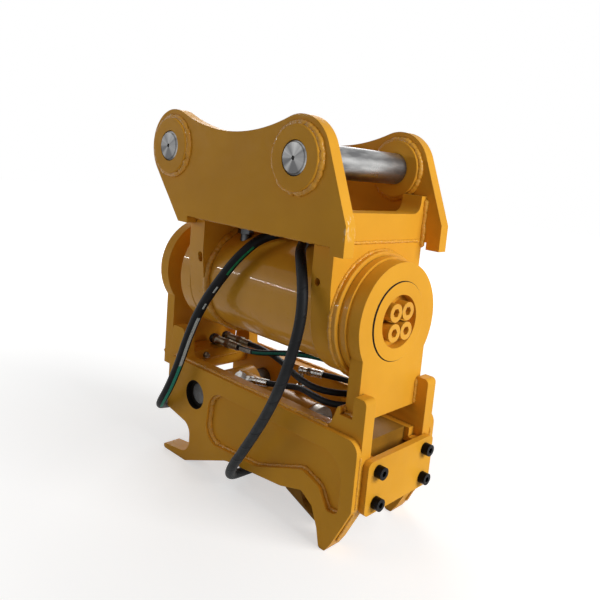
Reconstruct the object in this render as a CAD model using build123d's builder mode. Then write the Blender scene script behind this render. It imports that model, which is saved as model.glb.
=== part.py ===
from build123d import *
import os
from math import acos, atan2, cos, hypot, pi, radians, sin, sqrt, tan

os.makedirs("parts", exist_ok=True)

# The coupler stands on its claws. X runs along the tilt axis, Y across it, Z up from the floor.

# Fits and clearances
run_clear = 0.05            # a shaft in its bore, on the radius
seat_clear = 0.05           # a fixed piece in its seat
slide_clear = 0.3           # a flat that slides beside another

# Height of the coupler
claw_z = 54.0               # centre of the front bucket pin above the floor
frame_drop = 202.0          # tilt axis down to the top edge of the side plates
frame_rise = 182.0          # top edge of the side plates above the front bucket pin
eye_rise = 286.0            # upper pins above the tilt axis

# Length along the tilt axis
left_reach = 89.0           # left arm's outer face beyond the left upper pin
arm_t = 30.0
cover_out = 44.5            # outer face of the cover beyond the right arm
cover_t = 14.5

# Upper bracket, which the machine's stick and link are pinned to
pin_d = 65.0
pin_span = 396.0            # between the two upper pins
pin_stub = 2.5              # a pin's end beyond its boss
pin_chamfer = 4.5
centre_drill_r = 4.0
centre_drill_depth = 7.0
stick_gap = 247.0           # free width between the bosses
pin_side_gap = 0.5          # pin's full diameter ends this far from each boss
pin_end_ease = 0.35         # its ends are thinner by this, on the radius
boss_d = 121.0
boss_proud = 10.0           # on each side of the ear
boss_chamfer = 2.0
ear_t = 25.0
ear_round = 79.0            # ear round each boss
saddle_r = 440.0            # hollow top edge of the ear between the bosses
foot_drop = 160.0           # pin centres down to the ear's feet
foot_step = 15.0            # ear's lower edge between the feet, above them
left_foot = (33.0, 66.0)    # left foot, from and to, right of the left pin
right_foot = (97.0, 130.0)  # right foot, from and to, right of the right pin
ear_side = 54.0             # straight upright edge above the right foot
base_t = 12.0
base_drop = 2.0             # base plate's underside below the ear's lower edge
hose_window_size = (110.0, 118.0)
hose_window_at = (100.0, 16.0)  # its centre, left of the right pin and nearer than the middle

# Housing of the tilt drive
barrel_r = 118.0
barrel_bore = 88.0
plate_t = 50.0              # both end plates
plate_setback = 31.0        # right end plate's outer face inside the right arm
cap_setback = 105.0         # left end plate's outer face inside the left arm
plate_r = 126.0             # lower round of the end plates
shoulder_z = 61.0           # where their straight sides end, above the tilt axis
plate_top = 199.0           # their top edge above the tilt axis
horn_rise = 37.0            # their corners beside the ears rise by this
horn_w = 16.5
horn_fillet = 22.0
cap_r = 127.0
cap_t = 40.0
cap_bolt_ring = 104.0
cap_bolts = 10
ring_r = 128.0
ring_t = 14.5
oil_hole_r = 7.5
oil_hole_depth = 24.0
eye_to_plate = 85.0         # right upper pin inside the right end plate's outer face

# Shaft and drive inside the housing
neck_r = 62.0
core_r = 50.0
journal_r = 75.0
flange_r = 120.0
flange_gap = 0.7            # turning gap between the shaft flange and the bearing ring
bush_wall = 8.0
seal_w = 8.0
gear_bore = 74.0
gear_from = 115.0           # ring gear, from and to, left of the right end plate
gear_to = 50.0
sleeve_gap = 30.0           # sleeve's end, left of the right end plate
piston_w = 35.0
piston_at = 56.0            # piston's left face, right of the left end plate
piston_ring_w = 6.0
piston_ring_deep = 4.0

# Arms and hub discs
right_arm_r = 115.0
left_arm_r = 118.0
arm_half = 96.0
right_arm_drop = 184.0      # tilt axis down to the right arm's lower edge
left_arm_drop = 241.0
hub_r = 79.0
hub_proud = 2.0
hub_recess_r = 52.5
hub_recess = 20.0
hub_screw_grid = (37.0, 39.0)
m24_r = 12.0
m24_head_r = 18.0
m24_head = 24.0
m24_length = 50.0
m16_r = 8.0
m16_head_r = 12.0
m16_head = 15.5

# Side plates and doublers
grip_span = 396.0           # between the two bucket pins
eye_to_claw = 38.0          # front bucket pin, right of the left upper pin
inner_half = 82.5           # from the middle to the side plates
side_t = 28.0
doubler_t = 12.0
claw_ease = 0.5             # claw's seat over the bucket pin, on the radius
notch_ease = 0.5            # arm's slot over the arm's thickness, on each side
notch_rise = 32.0           # slot's floor above the side plate's top edge
lug_rise = 46.0             # lug beside the slot
ear_rise = 76.0             # side plate's right ear
tab_rise = 70.0             # left tab of the side plate
tab_w = 43.0
frame_left = 15.0           # side plate's left end inside the left arm
doubler_left = 19.0         # doubler's left end inside the side plate's
window_top = 38.0           # window's upper edge below the doubler's top edge
window_end = 31.0           # window's right end inside the doubler's
window_upper_left = 162.0   # window's corners right of the doubler's left end
window_lower_left = (152.0, 21.0)   # and above the front bucket pin
window_dip = (333.0, 32.0)
brow_rise = 22.0            # doubler's lower left corner above the claw's seat
pin_hole_ease = 8.0         # doubler's hole over the cylinder's base pin, on the radius

# Cross block, cover and their fasteners
block_drop = 194.0          # tilt axis down to the cross block's top
block_h = 55.0
block_len = 67.0
block_round = 20.0
left_bolt_head = 16.0
left_bolt_y = (25.0, 68.0)
left_bolt_drop = 24.0       # below the cross block's top
cover_w = 205.0
cover_h = 106.0
cover_low = 145.0           # cover's lower edge below the side plate's top edge
cover_round = 12.0
lug_w = 20.5
lug_len = 20.0
lug_h = 92.0
cover_screw_pitch = 62.0

# Lock cylinder and hook
lock_z = 116.0              # cylinder's centreline above the bucket pins
base_pin_d = 50.0
base_pin_at = 44.0          # right of the front bucket pin
cylinder_r = 37.5
cylinder_bore = 27.5
eye_block_half = 40.0
eye_block_r = 40.0
hook_room = 13.5            # hook from the cover's lugs
cylinder_floor = 15.0       # solid end beyond the eye block
gland_len = 20.0
gland_r = 36.0
gland_neck = 12.0
rod_r = 19.0
piston_len = 30.0
piston_back = 5.0           # piston from the gland, at rest
stroke = 85.0
rod_bite = 34.0             # rod inside the hook
hook_pin_r = 9.0
hook_gap = 2.5              # hook from the gland with the rod drawn in
saddle_ease = 1.5
mouth_reach = 60.0          # hook's mouth, right of the rear bucket pin and below it
mouth_drop = 24.0
rail_t = 6.5
rail_h = 14.0
upper_rail_t = 16.5
upper_rail_h = 29.0
rail_len = 190.0
rail_gap = 2.0              # rails from the cover's lugs
slide_h = 65.4              # hook's slide between the rails
slide_len = 85.0
slide_over = 8.0            # slide's top above the rod's centreline
hook_under = 4.5            # hook's bridge below the cylinder
hook_half = 75.5
hook_neck_half = 65.5

# Hoses and fittings
hose_r = 10.5
ferrule_r = 13.5
ferrule_len = 38.0
elbow_r = 13.0
stem_r = 11.0
first_port_at = (117.5, 20.0)   # left of the right pin, and beyond the middle
second_port_at = (97.5, -12.0)
plug_at = (47.0, -58.0)     # right of the left end plate, and nearer than the middle
port_depth = 15.0
port_rise = 19.0            # elbow's centre above the top of the barrel
hex_flats = 30.0
plug_neck = 9.0             # plug's hexagon above the barrel
plug_head = 12.0
nut_len = 22.0

# Hoses and fittings of the lock cylinder
lock_hose_r = 6.5
lock_ferrule_r = 9.0
lock_stem_r = 7.5
port_boss_r = 12.0
port_boss_rise = 8.5        # above the cylinder's barrel
base_port_at = 65.5         # right of the cylinder's base pin
rod_port_at = (71.5, 21.0)  # left of the barrel's end, and beyond the middle
rod_port_rise = 42.0        # elbow's centre above its boss
banjo_r = 13.0
banjo_h = 22.0
banjo_head = 8.0
base_hose_at = 76.0         # hose's start from the banjo's centre
rod_hose_at = 50.0          # hose's start from the elbow's centre
dust_cap_r = 12.5           # dust cap on each hose's free end
adapter_steps = (           # length, radius and sides, from the hose to the cap; 0 sides is round
    (32.0, lock_ferrule_r, 0),
    (16.0, 12.0, 6),
    (38.0, 9.5, 0),
    (12.0, 12.0, 6),
    (12.0, dust_cap_r, 0),
)

# Places that follow from the sizes above
arm_span = left_reach + pin_span + eye_to_plate + plate_setback + arm_t
half_length = (left_bolt_head + arm_span + cover_out + m16_head) / 2
left_out = left_bolt_head - half_length
left_in = left_out + arm_t
right_out = left_out + arm_span
right_in = right_out - arm_t
axis_z = claw_z + frame_rise + frame_drop
frame_top = claw_z + frame_rise
eye_z = axis_z + eye_rise
right_plate = right_in - plate_setback
right_plate_in = right_plate - plate_t
left_plate = left_in + cap_setback
left_plate_in = left_plate + plate_t
right_eye = right_plate - eye_to_plate
left_eye = right_eye - pin_span
eyes = (left_eye, right_eye)
claw_x = left_eye + eye_to_claw
jaw_x = claw_x + grip_span
boss_in = stick_gap / 2
ear_in = boss_in + boss_proud
ear_out = ear_in + ear_t
boss_out = ear_out + boss_proud
foot_z = eye_z - foot_drop
ear_low = foot_z + foot_step
cover_face = right_out + cover_out
frame_right = cover_face - cover_t
side_left = left_in + frame_left
side_out = inner_half + side_t
doubler_out = side_out + doubler_t
lock_axis = claw_z + lock_z
pin_r = pin_d / 2


# Helpers
def keep(piece, name):
    piece.label = name
    export_step(piece, f"parts/{name}.step")


def outline(plane, corners):
    """A closed face through the corners, each given with its own round."""
    with BuildSketch(plane) as face:
        with BuildLine():
            rounds = [corner[2] for corner in corners]
            FilletPolyline(*[corner[:2] for corner in corners], radius=rounds, close=True)
        make_face()
    return face.sketch


def discs(plane, places, radius):
    with BuildSketch(plane) as face:
        with Locations(*places):
            Circle(radius)
    return face.sketch


def turned(x_from, x_to, radius, height=axis_z, mode=Mode.ADD):
    """One turned length on a centreline along X."""
    extrude(discs(Plane.YZ.offset(x_from), [(0, height)], radius), amount=x_to - x_from, mode=mode)


def across(half_width, places, radius, mode=Mode.ADD):
    """Round bars or holes along Y, even about the middle; places are in X and Z."""
    extrude(discs(Plane.XZ, places, radius), amount=half_width, both=True, mode=mode)


def block(x_from, x_to, y_half, z_from, z_to, mode=Mode.ADD):
    with BuildSketch(Plane.XY.offset(z_from)) as face:
        with Locations(((x_from + x_to) / 2, 0)):
            Rectangle(x_to - x_from, 2 * y_half)
    extrude(face.sketch, amount=z_to - z_from, mode=mode)


def far_copy(piece):
    with BuildPart() as copy:
        mirror(piece, about=Plane.XZ)
    return copy.part


def near_and_far(piece, name):
    keep(piece, f"near_{name}")
    keep(far_copy(piece), f"far_{name}")


def on_circle(centre, radius, angle):
    return (centre[0] + radius * cos(angle), centre[1] + radius * sin(angle))


def touch(point, centre, radius, side):
    """Where a straight edge from the point runs on to a circle, on the side given as 1 or -1."""
    away = hypot(point[0] - centre[0], point[1] - centre[1])
    bearing = atan2(point[1] - centre[1], point[0] - centre[0])
    return on_circle(centre, radius, bearing + side * acos(radius / away))


def socket_screw(direction, seat, radius, length, head_r, head):
    """A socket head screw whose head stands on the seat and points along the direction, 1 or -1."""
    x, y, z = seat
    shank = Plane.YZ.offset(x)
    face = Plane.YZ.offset(x + direction * head)
    with BuildPart() as screw:
        extrude(discs(shank, [(y, z)], radius), amount=-direction * length)
        extrude(discs(shank, [(y, z)], head_r), amount=direction * head)
        with BuildSketch(face) as key:
            with Locations((y, z)):
                RegularPolygon(head_r / 2, 6)
        extrude(key.sketch, amount=-direction * head / 2, mode=Mode.SUBTRACT)
    return screw.part


def group(pieces):
    with BuildPart() as together:
        for piece in pieces:
            add(piece)
    return together.part


# Ears of the upper bracket
saddle_x = (left_eye + right_eye) / 2
saddle_z = eye_z + sqrt((saddle_r + ear_round) ** 2 - (pin_span / 2) ** 2)
left_boss = (left_eye, eye_z)
right_boss = (right_eye, eye_z)
rise = atan2(saddle_z - eye_z, pin_span / 2)
left_foot_x = [left_eye + reach for reach in left_foot]
right_foot_x = [right_eye + reach for reach in right_foot]
left_edge = touch((left_foot_x[0], foot_z), left_boss, ear_round, -1)
right_edge = touch((right_foot_x[1], foot_z + ear_side), right_boss, ear_round, 1)
left_edge_angle = atan2(left_edge[1] - eye_z, left_edge[0] - left_eye) + radians(360)
right_edge_angle = atan2(right_edge[1] - eye_z, right_edge[0] - right_eye)

with BuildPart() as near_ear:
    with BuildSketch(Plane.XZ.offset(ear_in)):
        with BuildLine():
            left_top = on_circle(left_boss, ear_round, rise)
            right_top = on_circle(right_boss, ear_round, radians(180) - rise)
            Line((left_foot_x[0], foot_z), left_edge)
            ThreePointArc(
                left_edge, on_circle(left_boss, ear_round, (left_edge_angle + rise) / 2), left_top
            )
            ThreePointArc(left_top, (saddle_x, saddle_z - saddle_r), right_top)
            ThreePointArc(
                right_top,
                on_circle(right_boss, ear_round, (radians(180) - rise + right_edge_angle) / 2),
                right_edge,
            )
            Polyline(
                right_edge,
                (right_foot_x[1], foot_z + ear_side),
                (right_foot_x[1], foot_z),
                (right_foot_x[0], foot_z),
                (right_foot_x[0], ear_low),
                (left_foot_x[1], ear_low),
                (left_foot_x[1], foot_z),
                (left_foot_x[0], foot_z),
            )
        make_face()
        with Locations(*[(eye, eye_z) for eye in eyes]):
            Circle(boss_d / 2 + seat_clear, mode=Mode.SUBTRACT)
    extrude(amount=ear_t)
near_and_far(near_ear.part, "ear")

# Bosses through the ears, and the two upper pins
with BuildPart() as near_pin_bosses:
    with BuildSketch(Plane.XZ.offset(boss_in)):
        with Locations(*[(eye, eye_z) for eye in eyes]):
            Circle(boss_d / 2)
            Circle(pin_r + run_clear, mode=Mode.SUBTRACT)
    extrude(amount=boss_out - boss_in)
    rims = near_pin_bosses.edges().filter_by(GeomType.CIRCLE).group_by(SortBy.RADIUS)[-1]
    chamfer(rims, boss_chamfer)
near_and_far(near_pin_bosses.part, "pin_bosses")


def upper_pin(eye):
    with BuildPart() as pin:
        across(boss_out + pin_stub, [(eye, eye_z)], pin_r - pin_end_ease)
        across(boss_in - pin_side_gap, [(eye, eye_z)], pin_r)
        rims = pin.edges().filter_by(GeomType.CIRCLE).sort_by(Axis.Y)
        chamfer((rims[0], rims[-1]), pin_chamfer)
        for end in (1, -1):
            mark = discs(Plane.XZ.offset(end * (boss_out + pin_stub)), [(eye, eye_z)], centre_drill_r)
            extrude(mark, amount=-end * centre_drill_depth, mode=Mode.SUBTRACT)
    return pin.part


keep(upper_pin(right_eye), "stick_pin")
keep(upper_pin(left_eye), "link_pin")

# Base plate between the ears and the end plates
base_z = ear_low - base_drop
with BuildPart() as base_plate:
    block(left_plate_in, right_plate_in, ear_in, base_z, base_z + base_t)
    with BuildSketch(Plane.XY.offset(base_z)) as hose_window:
        with Locations((right_eye - hose_window_at[0], -hose_window_at[1])):
            RectangleRounded(hose_window_size[0], hose_window_size[1], 2 * boss_proud)
    extrude(hose_window.sketch, amount=base_t, mode=Mode.SUBTRACT)
keep(base_plate.part, "base_plate")

# End plates, which close the housing and carry the ears
shoulder = (ear_in, axis_z + shoulder_z)
cheek = touch(shoulder, (0, axis_z), plate_r, -1)
horn_top = axis_z + plate_top + horn_rise


def end_plate(x_from):
    with BuildPart() as plate:
        with BuildSketch(Plane.YZ.offset(x_from)):
            with BuildLine():
                FilletPolyline(
                    (-shoulder[0], shoulder[1]),
                    (-ear_in, horn_top),
                    (horn_w - ear_in, horn_top),
                    (horn_w - ear_in + boss_chamfer, axis_z + plate_top),
                    (ear_in - horn_w - boss_chamfer, axis_z + plate_top),
                    (ear_in - horn_w, horn_top),
                    (ear_in, horn_top),
                    shoulder,
                    radius=[0, 0, horn_fillet, horn_fillet, 0, 0],
                )
                Line(shoulder, cheek)
                ThreePointArc(cheek, (0, axis_z - plate_r), (-cheek[0], cheek[1]))
                Line((-cheek[0], cheek[1]), (-shoulder[0], shoulder[1]))
            make_face()
        extrude(amount=plate_t)
    return plate.part


def oil_holes(places):
    """Blind holes in the near side face of an end plate."""
    holes = discs(Plane.XZ.offset(ear_in), places, oil_hole_r)
    extrude(holes, amount=-oil_hole_depth, mode=Mode.SUBTRACT)


cap_bolt_places = [
    on_circle((0, axis_z), cap_bolt_ring, radians(360 * (n + 0.5) / cap_bolts))
    for n in range(cap_bolts)
]
hole_z = axis_z + shoulder_z + oil_hole_r
with BuildPart() as right_end_plate:
    add(end_plate(right_plate_in))
    turned(right_plate_in, right_plate, journal_r + bush_wall, mode=Mode.SUBTRACT)
    oil_holes([(right_plate_in + 0.3 * plate_t, hole_z)])
keep(right_end_plate.part, "right_end_plate")

with BuildPart() as left_end_plate:
    add(end_plate(left_plate))
    turned(left_plate, left_plate_in, neck_r + bush_wall, mode=Mode.SUBTRACT)
    oil_holes([(left_plate_in - 0.2 * plate_t, hole_z - 2.4 * oil_hole_r)])
    oil_holes([(left_plate_in - 0.2 * plate_t, hole_z - 1.4 * oil_hole_r)])
    bolt_holes = discs(Plane.YZ.offset(left_plate), cap_bolt_places, m16_r + seat_clear)
    extrude(bolt_holes, amount=plate_t / 2 + seat_clear, mode=Mode.SUBTRACT)
keep(left_end_plate.part, "left_end_plate")

# Housing barrel with its ports
port_floor = axis_z + barrel_r - port_depth
elbow_z = axis_z + barrel_r + port_rise
first_port = (right_eye - first_port_at[0], first_port_at[1])
second_port = (right_eye - second_port_at[0], second_port_at[1])
plug_port = (left_plate_in + plug_at[0], plug_at[1])
plug_surface = axis_z + sqrt(barrel_r**2 - plug_at[1] ** 2)
plug_floor = plug_surface - port_depth
with BuildPart() as housing_barrel:
    turned(left_plate_in, right_plate_in, barrel_r)
    turned(left_plate_in, right_plate_in, barrel_bore, mode=Mode.SUBTRACT)
    sockets = discs(Plane.XY.offset(port_floor), [first_port, second_port], stem_r + seat_clear)
    extrude(sockets, amount=barrel_r, mode=Mode.SUBTRACT)
    plug_socket = discs(Plane.XY.offset(plug_floor), [plug_port], stem_r + seat_clear)
    extrude(plug_socket, amount=barrel_r, mode=Mode.SUBTRACT)
keep(housing_barrel.part, "housing_barrel")

# Ring at the shaft's flange, and the cap with its bolts at the other end
with BuildPart() as bearing_ring:
    turned(right_plate, right_plate + ring_t, ring_r)
    turned(right_plate, right_plate + ring_t, journal_r + run_clear, mode=Mode.SUBTRACT)
    turned(right_plate, right_plate + seal_w, journal_r + bush_wall, mode=Mode.SUBTRACT)
    chamfer(bearing_ring.edges().filter_by(GeomType.CIRCLE).group_by(SortBy.RADIUS)[-1], boss_chamfer)
keep(bearing_ring.part, "bearing_ring")

with BuildPart() as end_cap:
    turned(left_plate - cap_t, left_plate, cap_r)
    turned(left_plate - cap_t, left_plate, neck_r + run_clear, mode=Mode.SUBTRACT)
    turned(left_plate - seal_w, left_plate, neck_r + bush_wall, mode=Mode.SUBTRACT)
    chamfer(end_cap.edges().filter_by(GeomType.CIRCLE).group_by(SortBy.RADIUS)[-1], boss_chamfer)
    bolt_holes = discs(Plane.YZ.offset(left_plate - cap_t), cap_bolt_places, m16_r + seat_clear)
    extrude(bolt_holes, amount=cap_t, mode=Mode.SUBTRACT)
keep(end_cap.part, "end_cap")

cap_screw_length = cap_t + plate_t / 2
end_cap_bolts = group(
    socket_screw(-1, (left_plate - cap_t, y, z), m16_r, cap_screw_length, m16_head_r, m16_head)
    for y, z in cap_bolt_places
)
keep(end_cap_bolts, "end_cap_bolts")

# Bushes and seals that the shaft turns in
with BuildPart() as housing_bushes:
    turned(right_plate_in, right_plate, journal_r + bush_wall - seat_clear)
    turned(right_plate_in, right_plate, journal_r + run_clear, mode=Mode.SUBTRACT)
    turned(left_plate, left_plate_in, neck_r + bush_wall - seat_clear)
    turned(left_plate, left_plate_in, neck_r + run_clear, mode=Mode.SUBTRACT)
keep(housing_bushes.part, "housing_bushes")

with BuildPart() as shaft_seals:
    turned(right_plate, right_plate + seal_w, journal_r + bush_wall - seat_clear)
    turned(right_plate, right_plate + seal_w, journal_r + run_clear, mode=Mode.SUBTRACT)
    turned(left_plate - seal_w, left_plate, neck_r + bush_wall - seat_clear)
    turned(left_plate - seal_w, left_plate, neck_r + run_clear, mode=Mode.SUBTRACT)
keep(shaft_seals.part, "shaft_seals")

# Ring gear fixed in the barrel, and the piston sleeve that runs between it and the shaft
gear_left = right_plate_in - gear_from
with BuildPart() as ring_gear:
    turned(gear_left, right_plate_in - gear_to, barrel_bore - seat_clear)
    turned(gear_left, right_plate_in - gear_to, gear_bore + run_clear, mode=Mode.SUBTRACT)
keep(ring_gear.part, "ring_gear")

piston_left = left_plate_in + piston_at
piston_right = piston_left + piston_w
groove_left = piston_left + (piston_w - piston_ring_w) / 2
groove_right = groove_left + piston_ring_w
with BuildPart() as piston_sleeve:
    turned(piston_left, piston_right, barrel_bore - run_clear)
    turned(piston_right, right_plate_in - sleeve_gap, gear_bore)
    with BuildSketch(Plane.YZ.offset(groove_left)) as groove:
        with Locations((0, axis_z)):
            Circle(barrel_bore)
            Circle(barrel_bore - piston_ring_deep, mode=Mode.SUBTRACT)
    extrude(groove.sketch, amount=piston_ring_w, mode=Mode.SUBTRACT)
    turned(piston_left, right_plate_in, core_r + run_clear, mode=Mode.SUBTRACT)
keep(piston_sleeve.part, "piston_sleeve")

with BuildPart() as piston_ring:
    turned(groove_left, groove_right, barrel_bore - run_clear)
    turned(groove_left, groove_right, barrel_bore - piston_ring_deep + seat_clear, mode=Mode.SUBTRACT)
keep(piston_ring.part, "piston_ring")

# Shaft: necks, core, journal and flange in one, with the threads for the hub screws
hub_places = [
    (side * hub_screw_grid[0] / 2, axis_z + level * hub_screw_grid[1] / 2)
    for side in (1, -1)
    for level in (1, -1)
]
screw_bite = m24_length - (arm_t + hub_proud - hub_recess)
with BuildPart() as tilt_shaft:
    turned(left_in, left_plate_in, neck_r)
    turned(left_plate_in, right_plate_in, core_r)
    turned(right_plate_in, right_in, journal_r)
    turned(right_plate + ring_t + flange_gap, right_in, flange_r)
    for end, way in ((left_in, 1), (right_in, -1)):
        threads = discs(Plane.YZ.offset(end), hub_places, m24_r + seat_clear)
        extrude(threads, amount=way * (screw_bite + seat_clear), mode=Mode.SUBTRACT)
keep(tilt_shaft.part, "tilt_shaft")


# Arms that hold the shaft, and the hub discs screwed to its ends
def arm(x_from, x_to, round_r, drop):
    turned(x_from, x_to, round_r)
    block(x_from, x_to, arm_half, axis_z - drop, axis_z)
    turned(x_from, x_to, hub_r + seat_clear, mode=Mode.SUBTRACT)


notch_z = frame_top + notch_rise
with BuildPart() as right_arm:
    arm(right_in, right_out, right_arm_r, frame_drop - notch_rise)
    block(right_in, right_out, inner_half - seat_clear, axis_z - right_arm_drop, notch_z)
keep(right_arm.part, "right_arm")

block_top = axis_z - block_drop
left_bolt_z = block_top - left_bolt_drop
left_bolt_places = [(side * y, left_bolt_z) for y in left_bolt_y for side in (1, -1)]
with BuildPart() as left_arm:
    arm(left_out, left_in, left_arm_r, left_arm_drop)
    bolt_holes = discs(Plane.YZ.offset(left_out), left_bolt_places, m24_r + seat_clear)
    extrude(bolt_holes, amount=arm_t, mode=Mode.SUBTRACT)
keep(left_arm.part, "left_arm")


def hub_disc(x_in, way):
    """Disc in an arm's bore, with a round recess for its screws; way points outwards."""
    with BuildPart() as disc:
        thick = arm_t + hub_proud
        turned(x_in, x_in + way * thick, hub_r)
        outer = x_in + way * thick
        turned(outer, outer - way * hub_recess, hub_recess_r, mode=Mode.SUBTRACT)
        holes = discs(Plane.YZ.offset(x_in), hub_places, m24_r + seat_clear)
        extrude(holes, amount=way * thick, mode=Mode.SUBTRACT)
        rims = disc.edges().filter_by(GeomType.CIRCLE).group_by(SortBy.RADIUS)[-1]
        chamfer(rims.sort_by(lambda edge: way * edge.center().X)[-1], boss_chamfer)
    return disc.part


def hub_screws(x_in, way):
    seat = x_in + way * (arm_t + hub_proud - hub_recess)
    return group(
        socket_screw(way, (seat, y, z), m24_r, m24_length, m24_head_r, m24_head)
        for y, z in hub_places
    )


keep(hub_disc(right_in, 1), "right_hub_disc")
keep(hub_disc(left_in, -1), "left_hub_disc")
keep(hub_screws(right_in, 1), "right_hub_screws")
keep(hub_screws(left_in, -1), "left_hub_screws")

# Side plates: claw for the front bucket pin at the left, jaw for the rear one at the right
claw_r = pin_r + claw_ease
jaw_back = jaw_x + pin_r
lower_edge = [
    (frame_right, claw_z + 48, 14),
    (jaw_x + 97.5, claw_z - 32, 12),
    (jaw_x + 83, 0, 6),
    (jaw_x + 67, 0, 6),
    (jaw_back + 25, claw_z - 18, 18),
    (jaw_back + 8, claw_z + pin_r - 13.5, 10),
    (jaw_x + 8.5, claw_z + pin_r + 5.5, 10),
    (jaw_x - 49.5, claw_z + pin_r - 10.5, 40),
    (claw_x + 170.5, claw_z + 5, 60),
    (claw_x + 20.5, 0, 20),
    (claw_x - 68.5, 0, 6),
    (claw_x - 67.5, claw_z - claw_r - 10, 4),
    (claw_x + claw_r, claw_z - claw_r + 2, claw_r),
    (claw_x + claw_r - 1, claw_z + claw_r + 4, 30),
]
slot_left = right_in - notch_ease
slot_right = right_out + notch_ease
side_corners = [
    (side_left, claw_z + claw_r + 25, 3),
    (side_left, frame_top - 14, 8),
    (side_left + 9, frame_top + tab_rise, 8),
    (side_left + 9 + tab_w, frame_top + tab_rise, 8),
    (side_left + 17 + tab_w, frame_top, 14),
    (slot_left - 23, frame_top, 24),
    (slot_left - 6, frame_top + lug_rise, 3),
    (slot_left, frame_top + lug_rise, 0),
    (slot_left, notch_z, 0),
    (slot_right, notch_z, 0),
    (slot_right, frame_top + ear_rise, 3),
    (frame_right, frame_top + ear_rise, 10),
    *lower_edge,
]
base_pin_x = claw_x + base_pin_at
with BuildPart() as near_side_plate:
    extrude(outline(Plane.XZ.offset(inner_half), side_corners), amount=side_t)
    across(side_out, [(base_pin_x, lock_axis)], base_pin_d / 2 + seat_clear, mode=Mode.SUBTRACT)
near_and_far(near_side_plate.part, "side_plate")

# Doublers welded on the side plates, with a long window
doubler_left_x = side_left + doubler_left
window_z = frame_top - window_top
window_right = frame_right - window_end
window = [
    (doubler_left_x + window_upper_left, window_z, 45),
    (window_right, window_z, 50),
    (window_right - 1, claw_z + 28, 14),
    (window_right - 30, claw_z + 26, 10),
    (window_right - 54, claw_z + 64, 20),
    (window_right - 102, claw_z + 80, 30),
    (doubler_left_x + window_dip[0], claw_z + window_dip[1], 60),
    (doubler_left_x + window_lower_left[0], claw_z + window_lower_left[1], 40),
]
doubler_corners = [
    (doubler_left_x, claw_z + claw_r + brow_rise, 3),
    (doubler_left_x, frame_top, 14),
    (frame_right, frame_top, 25),
    *lower_edge,
]
with BuildPart() as near_doubler:
    extrude(outline(Plane.XZ.offset(side_out), doubler_corners), amount=doubler_t)
    extrude(outline(Plane.XZ.offset(side_out), window), amount=doubler_t, mode=Mode.SUBTRACT)
    across(doubler_out, [(base_pin_x, lock_axis)], base_pin_d / 2 + pin_hole_ease, mode=Mode.SUBTRACT)
near_and_far(near_doubler.part, "doubler")

# Cross block between the side plates, which the left arm is bolted to
with BuildPart() as cross_block:
    block(left_in, left_in + block_len, inner_half - seat_clear, block_top - block_h, block_top)
    lower_rim = cross_block.edges().filter_by(Axis.Y).group_by(Axis.Z)[0]
    fillet(lower_rim.sort_by(Axis.X)[-1], block_round)
    threads = discs(Plane.YZ.offset(left_in), left_bolt_places, m24_r + seat_clear)
    extrude(threads, amount=arm_t + seat_clear, mode=Mode.SUBTRACT)
keep(cross_block.part, "cross_block")


def hex_bolt(y, z):
    with BuildPart() as bolt:
        with BuildSketch(Plane.YZ.offset(left_out)) as head:
            with Locations((y, z)):
                RegularPolygon(m24_head_r, 6, major_radius=False)
        extrude(head.sketch, amount=-left_bolt_head)
        extrude(discs(Plane.YZ.offset(left_out), [(y, z)], m24_r), amount=2 * arm_t)
    return bolt.part


keep(group(hex_bolt(y, z) for y, z in left_bolt_places), "left_arm_bolts")

# Cover over the right end of the hook's slide, on two lugs
cover_z = frame_top - cover_low + cover_h / 2
lug_y = inner_half - lug_w / 2
screw_y = inner_half - m16_r - seat_clear
cover_screw_places = [
    (side * screw_y, cover_z + level * cover_screw_pitch / 2) for side in (1, -1) for level in (1, -1)
]
with BuildPart() as cover_plate:
    with BuildSketch(Plane.YZ.offset(frame_right)) as cover_face_sketch:
        with Locations((0, cover_z)):
            RectangleRounded(cover_w, cover_h, cover_round)
    extrude(cover_face_sketch.sketch, amount=cover_t)
    screw_holes = discs(Plane.YZ.offset(frame_right), cover_screw_places, m16_r + seat_clear)
    extrude(screw_holes, amount=cover_t, mode=Mode.SUBTRACT)
keep(cover_plate.part, "cover_plate")

with BuildPart() as cover_lugs:
    with BuildSketch(Plane.YZ.offset(frame_right)) as lug_face:
        with Locations((lug_y, cover_z), (-lug_y, cover_z)):
            Rectangle(lug_w, lug_h)
    extrude(lug_face.sketch, amount=-lug_len)
    screw_holes = discs(Plane.YZ.offset(frame_right), cover_screw_places, m16_r)
    extrude(screw_holes, amount=-lug_len, mode=Mode.SUBTRACT)
keep(cover_lugs.part, "cover_lugs")

cover_screws = group(
    socket_screw(1, (cover_face, y, z), m16_r - seat_clear, cover_t + lug_len, m16_head_r, m16_head)
    for y, z in cover_screw_places
)
keep(cover_screws, "cover_screws")

# Lock cylinder on its base pin
with BuildPart() as cylinder_base_pin:
    across(side_out, [(base_pin_x, lock_axis)], base_pin_d / 2)
    chamfer(cylinder_base_pin.edges().filter_by(GeomType.CIRCLE), boss_chamfer)
keep(cylinder_base_pin.part, "cylinder_base_pin")

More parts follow.
